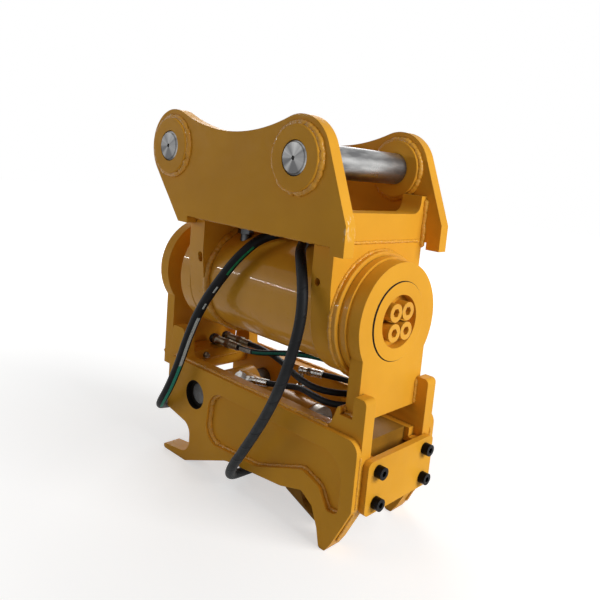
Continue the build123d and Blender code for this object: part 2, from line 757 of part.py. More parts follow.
slide_right = frame_right - lug_len - hook_room
slide_left = slide_right - slide_len
gland_face = slide_left - hook_gap - stroke
barrel_end = gland_face - gland_len
slant = Vector(0, -1, 1).normalized()
base_port = Vector(base_pin_x + base_port_at, 0, lock_axis)
rod_port = (barrel_end - rod_port_at[0], rod_port_at[1])
boss_height = cylinder_r + port_boss_rise
bore_start = base_pin_x + eye_block_r + cylinder_floor
with BuildPart() as lock_cylinder_barrel:
    across(eye_block_half, [(base_pin_x, lock_axis)], eye_block_r)
    turned(base_pin_x, barrel_end, cylinder_r, lock_axis)
    with BuildSketch(Plane(origin=base_port, z_dir=slant)):
        Circle(port_boss_r)
    extrude(amount=boss_height)
    extrude(discs(Plane.XY.offset(lock_axis), [rod_port], port_boss_r), amount=boss_height)
    across(eye_block_half, [(base_pin_x, lock_axis)], base_pin_d / 2 + run_clear, mode=Mode.SUBTRACT)
    turned(bore_start, barrel_end, cylinder_bore, lock_axis, mode=Mode.SUBTRACT)
keep(lock_cylinder_barrel.part, "lock_cylinder_barrel")

with BuildPart() as lock_gland:
    turned(barrel_end, gland_face, gland_r, lock_axis)
    turned(barrel_end - gland_neck, barrel_end, cylinder_bore - seat_clear, lock_axis)
    turned(barrel_end - gland_neck, gland_face, rod_r + run_clear, lock_axis, mode=Mode.SUBTRACT)
    chamfer(lock_gland.edges().filter_by(GeomType.CIRCLE).group_by(Axis.X)[-1][-1], boss_chamfer)
keep(lock_gland.part, "lock_gland")

rod_end = slide_left + rod_bite
piston_end = barrel_end - gland_neck - piston_back
with BuildPart() as lock_rod:
    turned(piston_end - piston_len, rod_end, rod_r, lock_axis)
    turned(piston_end - piston_len, piston_end, cylinder_bore - run_clear, lock_axis)
    pin_place = [(slide_left + rod_bite / 2, lock_axis)]
    across(cylinder_r, pin_place, hook_pin_r + seat_clear, mode=Mode.SUBTRACT)
keep(lock_rod.part, "lock_rod")

# Hook: a slide between the rails, and an open saddle under the rear bucket pin
saddle_edge = pin_r + saddle_ease
slide_low = lock_axis - slide_h + slide_over
slide_high = slide_low + slide_h
bridge_low = claw_z + saddle_edge
bridge_high = lock_axis - cylinder_r - hook_under
hook_corners = [
    (jaw_x - 85.5, bridge_high, 10),
    (jaw_x - 93.5, claw_z - 8, 25),
    (jaw_x + 10.5, 8, 6),
    (jaw_x + 26.5, 10, 4),
    (jaw_x + 26.5, bridge_low, 0),
    (slide_right, bridge_low, 6),
    (slide_right, bridge_high, 0),
]
mouth = [
    (jaw_x, claw_z - mouth_drop, 0),
    (jaw_x + mouth_reach, claw_z - mouth_drop, 0),
    (jaw_x + mouth_reach, bridge_low, 0),
    (jaw_x, bridge_low, 0),
]
with BuildPart() as lock_hook:
    extrude(outline(Plane.XZ, hook_corners), amount=hook_half, both=True)
    across(hook_half, [(jaw_x, claw_z)], saddle_edge, mode=Mode.SUBTRACT)
    extrude(outline(Plane.XZ, mouth), amount=hook_half, both=True, mode=Mode.SUBTRACT)
    block(slide_left, slide_right, hook_half, bridge_low + 10, slide_low)
    block(slide_left, slide_right, inner_half - slide_clear, slide_low, slide_high)
    block(slide_left, slide_right, hook_neck_half, slide_high, lock_axis + cylinder_r)
    turned(slide_left, rod_end + seat_clear, rod_r + seat_clear, lock_axis, mode=Mode.SUBTRACT)
    across(hook_neck_half, pin_place, hook_pin_r + seat_clear, mode=Mode.SUBTRACT)
keep(lock_hook.part, "lock_hook")

with BuildPart() as hook_pin:
    across(hook_neck_half, pin_place, hook_pin_r)
keep(hook_pin.part, "hook_pin")

# Rails on the side plates, above and below the slide
rail_right = frame_right - lug_len - rail_gap
rail_left = rail_right - rail_len


def rails(x_from, thick, z_from, height):
    with BuildPart() as pair:
        with BuildSketch(Plane.XY.offset(z_from)) as feet:
            middle = (x_from + rail_right) / 2
            beside = inner_half - thick / 2
            with Locations((middle, beside), (middle, -beside)):
                Rectangle(rail_right - x_from, thick)
        extrude(feet.sketch, amount=height)
    return pair.part


keep(rails(rail_left, rail_t, slide_low - slide_clear - rail_h, rail_h), "lower_guide_rails")
upper_rail_z = slide_high + slide_clear
keep(rails(rail_left, upper_rail_t, upper_rail_z, upper_rail_h), "upper_guide_rails")


# Fittings on the housing: two elbows for the hoses, and a plug
def ferrule(start, direction, length, radius):
    with BuildPart() as collar:
        with BuildSketch(Plane(origin=start, z_dir=direction)):
            Circle(radius)
        extrude(amount=length)
    return collar.part


first_way = Vector(-0.418, -0.903, -0.106).normalized()
second_way = Vector(0.558, -0.806, -0.2).normalized()


def elbow(port, way):
    with BuildPart() as fitting:
        extrude(discs(Plane.XY.offset(port_floor), [port], stem_r), amount=elbow_z - port_floor)
        with Locations((port[0], port[1], elbow_z)):
            Sphere(elbow_r)
        add(ferrule((port[0], port[1], elbow_z), way, elbow_r + ferrule_len, ferrule_r - 2))
        add(ferrule(Vector(port[0], port[1], elbow_z) + way * elbow_r, way, ferrule_len, ferrule_r))
    return fitting.part


def plug(port):
    with BuildPart() as fitting:
        extrude(discs(Plane.XY.offset(plug_floor), [port], stem_r), amount=port_depth + plug_neck)
        with BuildSketch(Plane.XY.offset(plug_surface + plug_neck)) as cap:
            with Locations(port):
                RegularPolygon(hex_flats / 2, 6, major_radius=False)
        extrude(cap.sketch, amount=plug_head)
    return fitting.part


fittings = [elbow(first_port, first_way), elbow(second_port, second_way), plug(plug_port)]
keep(group(fittings), "housing_port_fittings")


# Free hoses: from the elbows, down the near side and away under and behind the coupler
def hose(points, radius):
    route = [Vector(*point) for point in points]
    runs = [after - before for before, after in zip(route, route[1:])]
    rounds = []
    for before, after in zip(runs, runs[1:]):
        shorter = min(before.length, after.length)
        rounds.append(0.45 * shorter / tan(radians(before.get_angle(after)) / 2))
    with BuildPart() as tube:
        with BuildLine() as line:
            FilletPolyline(*route, radius=rounds)
        with BuildSketch(Plane(origin=route[0], z_dir=runs[0])):
            Circle(radius)
        sweep()
    length = line.wire().length
    print("hose length", round(length), "rounds", [round(r) for r in rounds])
    print("volume share", round(tube.part.volume / (pi * radius**2 * length), 4))
    return tube.part


def hose_start(port, way):
    return Vector(port[0], port[1], elbow_z) + way * (elbow_r + ferrule_len)


first_start = hose_start(first_port, first_way)
first_route = [
    first_start,
    first_start + first_way * 56,
    (-42, -124, 514),
    (-81, -150, 443),
    (-125, -152, 384),
    (-166, -151, 316),
    (-204, -150, 244),
    (-246, -152, 180),
    (-300, -142, 132),
    (-338, -88, 104),
    (-348, -16, 78),
    (-338, 56, 48),
    (-312, 128, 18),
    (-250, 168, 11),
    (-176, 172, 11),
    (-102, 164, 14),
]
second_start = hose_start(second_port, second_way)
second_route = [
    second_start,
    second_start + second_way * 54,
    (150, -132, 535),
    (182, -152, 492),
    (192, -160, 440),
    (183, -163, 382),
    (163, -162, 320),
    (134, -160, 256),
    (97, -158, 192),
    (56, -156, 130),
    (14, -150, 74),
    (-24, -122, 30),
    (-48, -62, 11),
    (-46, 10, 11),
    (-18, 78, 11),
    (38, 128, 11),
    (106, 150, 11),
    (176, 148, 14),
]
keep(hose(first_route, hose_r), "first_hose")
keep(hose(second_route, hose_r), "second_hose")


def end_fitting(route):
    """Ferrule and swivel nut on a hose's free end, with an open bore."""
    before, end = Vector(*route[-2]), Vector(*route[-1])
    way = (end - before).normalized()
    with BuildPart() as fitting:
        add(ferrule(end, way, ferrule_len, ferrule_r))
        with BuildSketch(Plane(origin=end + way * ferrule_len, z_dir=way)):
            RegularPolygon(ferrule_r, 6)
            Circle(stem_r / 2, mode=Mode.SUBTRACT)
        extrude(amount=nut_len)
    return fitting.part


keep(end_fitting(first_route), "first_hose_end")
keep(end_fitting(second_route), "second_hose_end")

# Banjo and elbow on the lock cylinder's ports
base_way = Vector(73, 12, 10).normalized()
rod_way = Vector(31, 17, -2).normalized()
banjo_seat = base_port + slant * boss_height
banjo_centre = banjo_seat + slant * banjo_h / 2
rod_elbow_z = lock_axis + boss_height + rod_port_rise
rod_elbow = Vector(rod_port[0], rod_port[1], rod_elbow_z)
with BuildPart() as banjo:
    add(ferrule(banjo_seat, slant, banjo_h, banjo_r))
    with BuildSketch(Plane(origin=banjo_seat + slant * banjo_h, z_dir=slant)):
        RegularPolygon(banjo_r - 1, 6)
    extrude(amount=banjo_head)
    add(ferrule(banjo_centre, base_way, base_hose_at, lock_stem_r))
    collar = base_hose_at - ferrule_len
    add(ferrule(banjo_centre + base_way * collar, base_way, ferrule_len, lock_ferrule_r))
with BuildPart() as rod_port_elbow:
    extrude(discs(Plane.XY.offset(lock_axis + boss_height), [rod_port], lock_stem_r), amount=rod_port_rise)
    with Locations(rod_elbow):
        Sphere(lock_ferrule_r)
    add(ferrule(rod_elbow, rod_way, rod_hose_at, lock_stem_r))
    collar = rod_hose_at - adapter_steps[0][0]
    add(ferrule(rod_elbow + rod_way * collar, rod_way, adapter_steps[0][0], lock_ferrule_r))
keep(group([banjo.part, rod_port_elbow.part]), "lock_port_fittings")

# Lock hoses: from the cylinder to the right end, round under the housing and back above the cross block
first_lock_start = banjo_centre + base_way * base_hose_at
second_lock_start = rod_elbow + rod_way * rod_hose_at
cap_rest = block_top + dust_cap_r + slide_clear
first_cap = Vector(-279, 3, cap_rest)
second_cap = Vector(-281, 42, cap_rest)
first_lock_end = Vector(-170, -3, 262)
second_lock_end = Vector(-172, 33, 264)
first_cap_way = (first_cap - first_lock_end).normalized()
second_cap_way = (second_cap - second_lock_end).normalized()
first_lock_route = [
    first_lock_start,
    first_lock_start + base_way * 42,
    (62, -28, 240),
    (106, -46, 251),
    (150, -64, 256),
    (207, -70, 258),
    (248, -29, 260),
    (248, 29, 264),
    (207, 70, 270),
    (150, 63, 283),
    (104, 41, 295),
    (60, 18, 301),
    (14, 4, 296),
    (-32, -4, 286),
    (-80, -6, 273),
    first_lock_end - first_cap_way * 44,
    first_lock_end,
]
second_lock_route = [
    second_lock_start,
    second_lock_start + rod_way * 44,
    (166, 71, 256),
    (208, 30, 264),
    (208, -28, 270),
    (166, -69, 275),
    (108, -62, 277),
    (56, -38, 274),
    (6, -12, 270),
    (-42, 7, 269),
    (-88, 20, 268),
    second_lock_end - second_cap_way * 40,
    second_lock_end,
]
keep(hose(first_lock_route, lock_hose_r), "first_lock_hose")
keep(hose(second_lock_route, lock_hose_r), "second_lock_hose")


def hose_adapter(start, way):
    """Ferrule, nut, body, collar and dust cap in a row, from a hose's end."""
    with BuildPart() as chain:
        at = start
        for length, radius, sides in adapter_steps:
            with BuildSketch(Plane(origin=at, z_dir=way)):
                if sides:
                    RegularPolygon(radius, sides)
                else:
                    Circle(radius)
            extrude(amount=length)
            at = at + way * length
    return chain.part


adapters = [hose_adapter(first_lock_end, first_cap_way), hose_adapter(second_lock_end, second_cap_way)]
keep(group(adapters), "lock_hose_adapters")
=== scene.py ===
import bpy
import random
from math import ceil, cos, pi, radians, sin, tan
from mathutils import Matrix, Vector


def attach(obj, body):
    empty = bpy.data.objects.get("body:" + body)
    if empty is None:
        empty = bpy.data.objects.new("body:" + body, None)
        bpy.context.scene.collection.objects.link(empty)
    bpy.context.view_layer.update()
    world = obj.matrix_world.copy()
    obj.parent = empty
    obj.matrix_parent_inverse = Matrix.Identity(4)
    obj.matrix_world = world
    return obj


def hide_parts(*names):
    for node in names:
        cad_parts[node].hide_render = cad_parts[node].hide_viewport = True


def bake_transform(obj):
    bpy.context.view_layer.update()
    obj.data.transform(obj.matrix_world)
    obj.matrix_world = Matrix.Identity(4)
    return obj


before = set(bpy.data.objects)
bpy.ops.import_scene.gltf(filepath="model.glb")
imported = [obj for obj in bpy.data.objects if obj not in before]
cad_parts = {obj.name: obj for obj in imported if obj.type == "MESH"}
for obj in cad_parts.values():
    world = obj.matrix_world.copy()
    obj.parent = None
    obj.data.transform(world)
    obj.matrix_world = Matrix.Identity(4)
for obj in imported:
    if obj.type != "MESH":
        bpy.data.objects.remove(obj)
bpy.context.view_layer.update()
MM = 0.001
LOWER = "coupler_frame"
UPPER = "upper_bracket"


# Sizes in millimetres, read from the CAD nodes
def span(name, axis):
    """Where a CAD node starts and ends along X, Y or Z."""
    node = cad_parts[name]
    index = "XYZ".index(axis)
    places = [(node.matrix_world @ vertex.co)[index] / MM for vertex in node.data.vertices]
    return round(min(places), 1), round(max(places), 1)


def middle_of(name, axis):
    low, high = span(name, axis)
    return (low + high) / 2


def radius_of(name):
    low, high = span(name, "Z")
    return (high - low) / 2


AXIS_Z = middle_of("housing_barrel", "Z")
BARREL_R = radius_of("housing_barrel")
RING_R = radius_of("bearing_ring")
EYE_Z = middle_of("stick_pin", "Z")
STICK_EYE_X = middle_of("stick_pin", "X")
LINK_EYE_X = middle_of("link_pin", "X")
BOSS_R = radius_of("far_pin_bosses")
EAR_IN, EAR_OUT = span("far_ear", "Y")
BASE_PLATE = span("base_plate", "Z")
RIGHT_PLATE = span("right_end_plate", "X")
LEFT_PLATE = span("left_end_plate", "X")
SIDE_IN, SIDE_OUT = span("far_side_plate", "Y")
FRAME_TOP = span("far_doubler", "Z")[1]
FRAME_RIGHT = span("far_doubler", "X")[1]
BLOCK_LEFT, BLOCK_RIGHT = span("cross_block", "X")
BLOCK_LOW, BLOCK_TOP = span("cross_block", "Z")
RIGHT_ARM = span("right_arm", "X")
BASE_PIN_X = middle_of("cylinder_base_pin", "X")
BASE_PIN_Z = middle_of("cylinder_base_pin", "Z")
DOUBLER_LEFT = -273.5       # upright left edge of the doubler plates
ARM_SLOT_Z = 268.0          # bottom of the slots in which the right arm stands


# Camera, at the photograph's viewpoint
def place_camera():
    lens_data = bpy.data.cameras.new("photo_camera")
    lens_data.sensor_width = 36.0
    lens_data.lens = 36.82
    lens_data.shift_x = -0.1183
    lens_data.shift_y = -0.0582
    camera = bpy.data.objects.new("photo_camera", lens_data)
    viewpoint = Vector((0.9621, -0.9271, 0.7185))
    right = Vector((0.7629, 0.6384, 0.1021))
    up = Vector((-0.1766, 0.0539, 0.9828))
    back = right.cross(up).normalized()
    up = back.cross(right).normalized()
    turn = Matrix((right, up, back)).transposed().to_4x4()
    camera.matrix_world = Matrix.Translation(viewpoint) @ turn
    bpy.context.scene.collection.objects.link(camera)
    bpy.context.scene.camera = camera


place_camera()


# Node trees, all lengths in metres
class Shader:
    """One material's nodes, with a short way to add and join them."""

    def __init__(self, name):
        self.material = bpy.data.materials.new(name)
        self.material.use_nodes = True
        self.tree = self.material.node_tree
        self.tree.nodes.clear()
        self.output = self.tree.nodes.new("ShaderNodeOutputMaterial")
        self.place = self.add("TexCoord", out="Object")

    def put(self, socket, value):
        """Give an input another node's output, or a plain value."""
        if isinstance(value, bpy.types.NodeSocket):
            self.tree.links.new(value, socket)
        else:
            socket.default_value = value

    def add(self, kind, *values, out=0, **named):
        """Add a node and give back one of its outputs.

        Values fill the inputs in order, and named ones the settings or the inputs of that name.
        """
        node = self.tree.nodes.new("ShaderNode" + kind)
        for key, value in named.items():
            if hasattr(node, key):
                setattr(node, key, value)
            else:
                self.put(node.inputs[key.replace("_", " ")], value)
        for socket, value in zip(node.inputs, values):
            self.put(socket, value)
        return node.outputs[out]

    def math(self, operation, *values):
        return self.add("Math", *values, operation=operation)

    def noise(self, scale, detail=2.0, where=None):
        return self.add("TexNoise", Vector=where or self.place, Scale=scale, Detail=detail)

    def ramp(self, value, low, high, to_low=0.0, to_high=1.0):
        return self.add("MapRange", value, low, high, to_low, to_high)

    def step(self, value, place, soft):
        """0 below the place and 1 above it, or the other way round where soft is negative."""
        return self.ramp(value, place - soft, place + soft)

    def mix(self, share, first, second):
        return self.add("MixRGB", share, first, second)

    def bump(self, height, depth, normal=None, strength=1.0):
        named = {"Strength": strength, "Distance": depth, "Height": height}
        if normal is not None:
            named["Normal"] = normal
        return self.add("Bump", **named)

    def finish(self, colour, roughness, normal=None, **constants):
        named = {"Base_Color": colour, "Roughness": roughness, **constants}
        if normal is not None:
            named["Normal"] = normal
        surface = self.add("BsdfPrincipled", **named)
        self.tree.links.new(surface, self.output.inputs["Surface"])
        return self.material


def rgb(red, green, blue):
    return (red, green, blue, 1.0)


YELLOW = rgb(0.80, 0.385, 0.030)
YELLOW_DEEP = rgb(0.70, 0.325, 0.024)
# Dark brown used for painted shade in corners and on the lock hook
PAINTED_SHADE_BROWN = rgb(0.17, 0.080, 0.012)
PAINT_CHIP = rgb(0.88, 0.52, 0.13)
SHADOW = rgb(0.012, 0.009, 0.006)
SCRATCH = rgb(0.86, 0.64, 0.34)
EDGE_ROUND = 0.0014
CORNER_REACH = 0.010
BEAD_CORNER_REACH = 0.006
PEEL_DEPTH = 0.00066
PIN_END_FROM = 0.169        # from the pins' middle


def paint(name, gloss=0.0, shade_mask=None, scratched=None, painted_shade_share=0.0):
    """Construction yellow enamel: uneven coat, orange peel, painted shade in the corners and thin edges."""
    s = Shader(name)
    eased = s.add("Bevel", samples=6, Radius=EDGE_ROUND)
    flat = s.add("NewGeometry", out="Normal")
    edge = s.add("VectorMath", eased, flat, operation="DOT_PRODUCT", out="Value")
    edge = s.ramp(edge, 0.995, 0.90)
    corner = s.add("AmbientOcclusion", samples=6, out="AO", Distance=CORNER_REACH)
    coat = s.mix(s.ramp(s.noise(7, 3), 0.3, 0.75), YELLOW_DEEP, YELLOW)
    coat = s.mix(s.ramp(s.noise(140, 3), 0.55, 0.9, 0.0, 0.25), coat, YELLOW_DEEP)
    patches = s.ramp(s.noise(45, 4), 0.3, 0.6, 0.35, 0.95)
    # Painted shade: ambient occlusion darkens corners and crevices towards dark brown, in noisy patches.
    coat = s.mix(s.math("MULTIPLY", s.ramp(corner, 0.72, 0.25), patches), coat, PAINTED_SHADE_BROWN)
    worn = s.math("MULTIPLY", edge, s.ramp(s.noise(70, 5), 0.48, 0.66, 0.05, 0.55))
    coat = s.mix(worn, coat, PAINT_CHIP)
    # Painted shade: a noisy dark film over the whole part, for the deep shade it lies in.
    if painted_shade_share:
        shade_film = s.ramp(s.noise(16, 4), 0.3, 0.7, painted_shade_share, painted_shade_share + 0.25)
        coat = s.mix(shade_film, coat, PAINTED_SHADE_BROWN)
    if scratched:
        drawn_out = s.add("VectorMath", s.place, (1.0, 1.0, 0.3), operation="MULTIPLY")
        bare = s.ramp(s.noise(260, 6, drawn_out), 0.54, 0.64, 0.0, 0.8)
        coat = s.mix(s.math("MULTIPLY", bare, scratched(s)), coat, SCRATCH)
    # Painted shade: near black where the mask says, in a gap or hole that lies in shade.
    if shade_mask:
        coat = s.mix(shade_mask(s), coat, SHADOW)
    height = s.add("MixRGB", 0.3, s.noise(34, 2), s.noise(430, 2))
    dull = 0.16 * (1 - gloss)
    rough = s.ramp(s.noise(55, 4), 0.3, 0.7, 0.26 + dull, 0.38 + dull)
    normal = s.bump(height, PEEL_DEPTH, eased)
    shine = 0.03 + 0.19 * gloss
    return s.finish(coat, rough, normal, Coat_Weight=shine, Coat_Roughness=0.05, Specular_IOR_Level=0.08)


def split_place(s, x=0.0, y=0.0, z=0.0):
    """The three coordinates, counted from a point of the frame."""
    offset = s.add("VectorMath", s.place, (x, y, z), operation="SUBTRACT")
    return s.add("SeparateXYZ", offset).node.outputs


def radius_from(s, first, second):
    squares = [s.math("MULTIPLY", side, side) for side in (first, second)]
    return s.math("SQRT", s.math("ADD", *squares))


def hub_gap_shade(s):
    """Painted shade: a dark crescent in the gap where the hub disc sits a little to one side in its bore."""
    disc_r, bore_r, soft = 0.0774, 0.0798, 0.0002
    aside, lower = 0.0014, 0.0002
    _, y, z = split_place(s, y=aside, z=AXIS_Z * MM - lower)
    outside = s.step(radius_from(s, y, z), disc_r, soft)
    _, y, z = split_place(s, z=AXIS_Z * MM)
    inside = s.step(radius_from(s, y, z), bore_r, -soft)
    return s.math("MULTIPLY", outside, inside)


def pin_hole_shade(s):
    """Painted shade, near black, on the wall of the hole over the lock cylinder's base pin."""
    hole_r, wall_from = 0.0335, 0.1055
    x, y, z = split_place(s, x=BASE_PIN_X * MM, z=BASE_PIN_Z * MM)
    near = s.step(radius_from(s, x, z), hole_r, -0.0002)
    return s.math("MULTIPLY", near, s.step(s.math("ABSOLUTE", y), wall_from, 0.0005))


def ear_scratches(s):
    """Strip of the near ear's end where a weld was ground."""
    from_x, low, high = 0.2715, 0.597, 0.675
    x, _, z = split_place(s)
    strip = s.math("MULTIPLY", s.step(z, low, 0.007), s.step(z, high, -0.007))
    return s.math("MULTIPLY", s.step(x, from_x, 0.003), strip)


def turned_steel(name, centre=None):
    """Bare machined steel: turning rings along the bar, painted wedges of reflected light on its ends, and
    painted shade on its end faces.
    """
    s = Shader(name)
    where = s.place
    if centre is not None:
        where = s.add("VectorMath", s.place, centre, operation="SUBTRACT")
    x, y, z = s.add("SeparateXYZ", where).node.outputs
    angle = s.math("ARCTAN2", z, x)
    around = (s.math("COSINE", angle), s.math("SINE", angle))
    # Painted reflection: light and dark wedges around the axis, as on a turned face.
    glint_wedges = s.noise(1.6, 3, s.add("CombineXYZ", *around, s.math("MULTIPLY", y, 8.0)))
    rings = s.noise(420, 4, s.add("CombineXYZ", 0.0, y, 0.0))
    ring_depth = s.bump(rings, 0.00004)
    low, high = 0.152, 0.4868
    shade = s.mix(s.ramp(glint_wedges, 0.35, 0.68), rgb(low, low, low * 1.01), rgb(high, high, high * 0.985))
    shade = s.mix(s.ramp(rings, 0.35, 0.75, 0.0, 0.25), shade, rgb(low, low, low))
    # Painted shade: the end faces are darkened towards near black.
    end = s.step(s.math("ABSOLUTE", y), PIN_END_FROM, 0.0005)
    shade = s.mix(s.math("MULTIPLY", end, 0.62), shade, rgb(0.03, 0.03, 0.032))
    marks = s.ramp(s.noise(38, 6), 0.66, 0.72, 0.0, 0.55)
    shade = s.mix(marks, shade, rgb(0.10, 0.085, 0.07))
    rough = s.ramp(glint_wedges, 0.3, 0.7, 0.42, 0.27)
    return s.finish(shade, rough, ring_depth, Metallic=1.0, Anisotropic=0.35)


def metal(name, colour, rough, metallic=1.0, stain=None, stained=0.6):
    """Plated or oiled metal with a fine grain and stains."""
    s = Shader(name)
    eased = s.add("Bevel", samples=4, Radius=0.0006)
    dark = rgb(*(0.45 * channel for channel in colour[:3]))
    shade = s.mix(s.ramp(s.noise(220, 4), 0.3, 0.75, 0.0, 0.35), colour, dark)
    if stain:
        shade = s.mix(s.ramp(s.noise(85, 5), 0.45, 0.62, 0.0, stained), shade, stain)
    roughness = s.ramp(s.noise(150, 4), 0.3, 0.7, rough * 0.8, rough * 1.25)
    return s.finish(shade, roughness, s.bump(s.noise(600, 3), 0.00006, eased), Metallic=metallic)


RUBBER = (0.005, 0.0055, 0.0065)
WRAPPED_RUBBER = (0.017, 0.019, 0.021)
CLOTH_PITCH = 0.0021
CLOTH_THREADS = 14


def rubber(name, bands, shade=RUBBER, wrap=None, rough=0.5, shine=0.10):
    """Hose cover with a fine cloth imprint, and below its top a spiral wrap where one is asked for, which is
    plain black along the top and lighter grey below, partly its own colour and partly painted light.

    Each band is a plain mark: where it starts and ends along the hose in metres, its colour, and
    its middle and half width as shares of a turn around the hose.
    """
    s = Shader(name)
    along = s.add("Attribute", attribute_name="along", out="Fac")
    around = s.add("Attribute", attribute_name="around", out="Fac")
    cover = s.mix(s.ramp(s.noise(60, 4), 0.35, 0.7), rgb(*shade), rgb(*(1.9 * c for c in shade)))
    turn = s.math("MULTIPLY", around, 2 * pi * CLOTH_THREADS)
    run = s.math("MULTIPLY", along, 2 * pi / CLOTH_PITCH)
    one = s.math("SINE", s.math("ADD", run, turn))
    other = s.math("SINE", s.math("SUBTRACT", run, turn))
    imprint = s.math("MULTIPLY", one, other)
    depth = s.bump(imprint, 0.00010, strength=0.5)
    if wrap:
        wound = s.math("MULTIPLY", along, 2 * pi / wrap)
        phase = s.math("SUBTRACT", wound, s.math("MULTIPLY", around, 2 * pi))
        ridge = s.ramp(s.math("SINE", phase), 0.90, 0.995)
        cover = s.mix(s.math("MULTIPLY", ridge, 0.5), cover, rgb(0.004, 0.004, 0.005))
        depth = s.bump(ridge, 0.0006, depth)
        # Painted light: the wrapped hose is plain black along its first stretch, and the lighter grey
        # further on is partly the wrap's own colour and partly painted sky light.
        cover = s.mix(s.ramp(along, 0.27, 0.42), rgb(*RUBBER), cover)
    for start, end, colour, centre, half in bands:
        here = s.math("MULTIPLY", s.math("GREATER_THAN", along, start), s.math("LESS_THAN", along, end))
        facing = s.math("COMPARE", around, centre, half)
        mark = s.math("MULTIPLY", here, facing)
        worn = s.math("MULTIPLY", mark, s.ramp(s.noise(420, 3), 0.30, 0.55, 0.45, 1.0))
        cover = s.mix(worn, cover, rgb(*colour))
    return s.finish(cover, rough, depth, Specular_IOR_Level=shine)


# Skins made of rings of corners
def join_rings(faces, here, after, sides, turn=0):
    """Faces between two rings, from the numbers of their first corners."""
    for k in range(sides):
        step = (k + 1) % sides
        faces.append((here + k, here + step, after + (step + turn) % sides, after + (k + turn) % sides))


def close_ends(faces, first, last, sides):
    """The end faces on the first and on the last ring."""
    faces.append(tuple(first + k for k in range(sides - 1, -1, -1)))
    faces.append(tuple(last + k for k in range(sides)))


# Smooth lines and tubes
def smooth_line(name, points):
    """Points in metres of the NURBS line with these control points in millimetres."""
    curve = bpy.data.curves.new(name, "CURVE")
    curve.dimensions = "3D"
    curve.resolution_u = 14
    spline = curve.splines.new("NURBS")
    spline.points.add(len(points) - 1)
    for spot, point in zip(spline.points, points):
        spot.co = (*(coordinate * MM for coordinate in point), 1.0)
    spline.order_u = 3
    spline.use_endpoint_u = True
    holder = bpy.data.objects.new(name, curve)
    bpy.context.scene.collection.objects.link(holder)
    mesh = bpy.data.meshes.new_from_object(holder)
    line = [vertex.co.copy() for vertex in mesh.vertices]
    bpy.data.objects.remove(holder)
    bpy.data.meshes.remove(mesh)
    bpy.data.curves.remove(curve)
    return line


def link_mesh(name, corners, faces, material, smooth_below=40):
    mesh = bpy.data.meshes.new(name)
    mesh.from_pydata([tuple(corner) for corner in corners], [], faces)
    mesh.shade_smooth()
    mesh.set_sharp_from_angle(angle=radians(smooth_below))
    mesh.materials.append(material)
    piece = bpy.data.objects.new(name, mesh)
    bpy.context.scene.collection.objects.link(piece)
    return piece


def tangents(line, closed=False):
    """The line's direction at each of its points."""
    count = len(line)
    ways = []
    for n in range(count):
        before = line[n - 1] if closed or n > 0 else line[n]
        after = line[(n + 1) % count] if closed or n < count - 1 else line[n]
        ways.append((after - before).normalized())
    return ways


def untwisted(ways, side, start=0):
    """A direction square to each way, carried both ways from one of them without twist."""
    def square(vector, way):
        return (vector - way * vector.dot(way)).normalized()

    sides = [None] * len(ways)
    sides[start] = square(Vector(side), ways[start])
    for n in range(start + 1, len(ways)):
        sides[n] = square(sides[n - 1], ways[n])
    for n in range(start - 1, -1, -1):
        sides[n] = square(sides[n + 1], ways[n])
    return sides


def tube(name, line, radius, print_side, print_at, material, sides=28):
    """A hose's skin along its line, with where each point is along and around it.

    Prints lie on the side that faces print_side, exactly so at the share print_at of the line.
    """
    ways = tangents(line)
    rays = untwisted(ways, print_side, int(print_at * (len(line) - 1)))
    corners, along = [], [0.0]
    for n, (point, way, side) in enumerate(zip(line, ways, rays)):
        if n:
            along.append(along[-1] + (point - line[n - 1]).length)
        across = way.cross(side)
        for k in range(sides):
            angle = 2 * pi * k / sides - pi
            corners.append(point + radius * (cos(angle) * side + sin(angle) * across))
    faces, alongs, arounds = [], [], []
    for n in range(len(line) - 1):
        join_rings(faces, n * sides, (n + 1) * sides, sides)
        for k in range(sides):
            alongs += [along[n], along[n], along[n + 1], along[n + 1]]
            arounds += [k / sides, (k + 1) / sides, (k + 1) / sides, k / sides]
    close_ends(faces, 0, (len(line) - 1) * sides, sides)
    alongs += [0.0] * sides + [along[-1]] * sides
    arounds += [0.0] * 2 * sides
    piece = link_mesh(name, corners, faces, material)
    for title, values in (("along", alongs), ("around", arounds)):
        piece.data.attributes.new(title, "FLOAT", "CORNER").data.foreach_set("value", values)
    return piece


# Turned and hexagonal pieces, built up along their centrelines
UP = Vector((0, 0, 1))


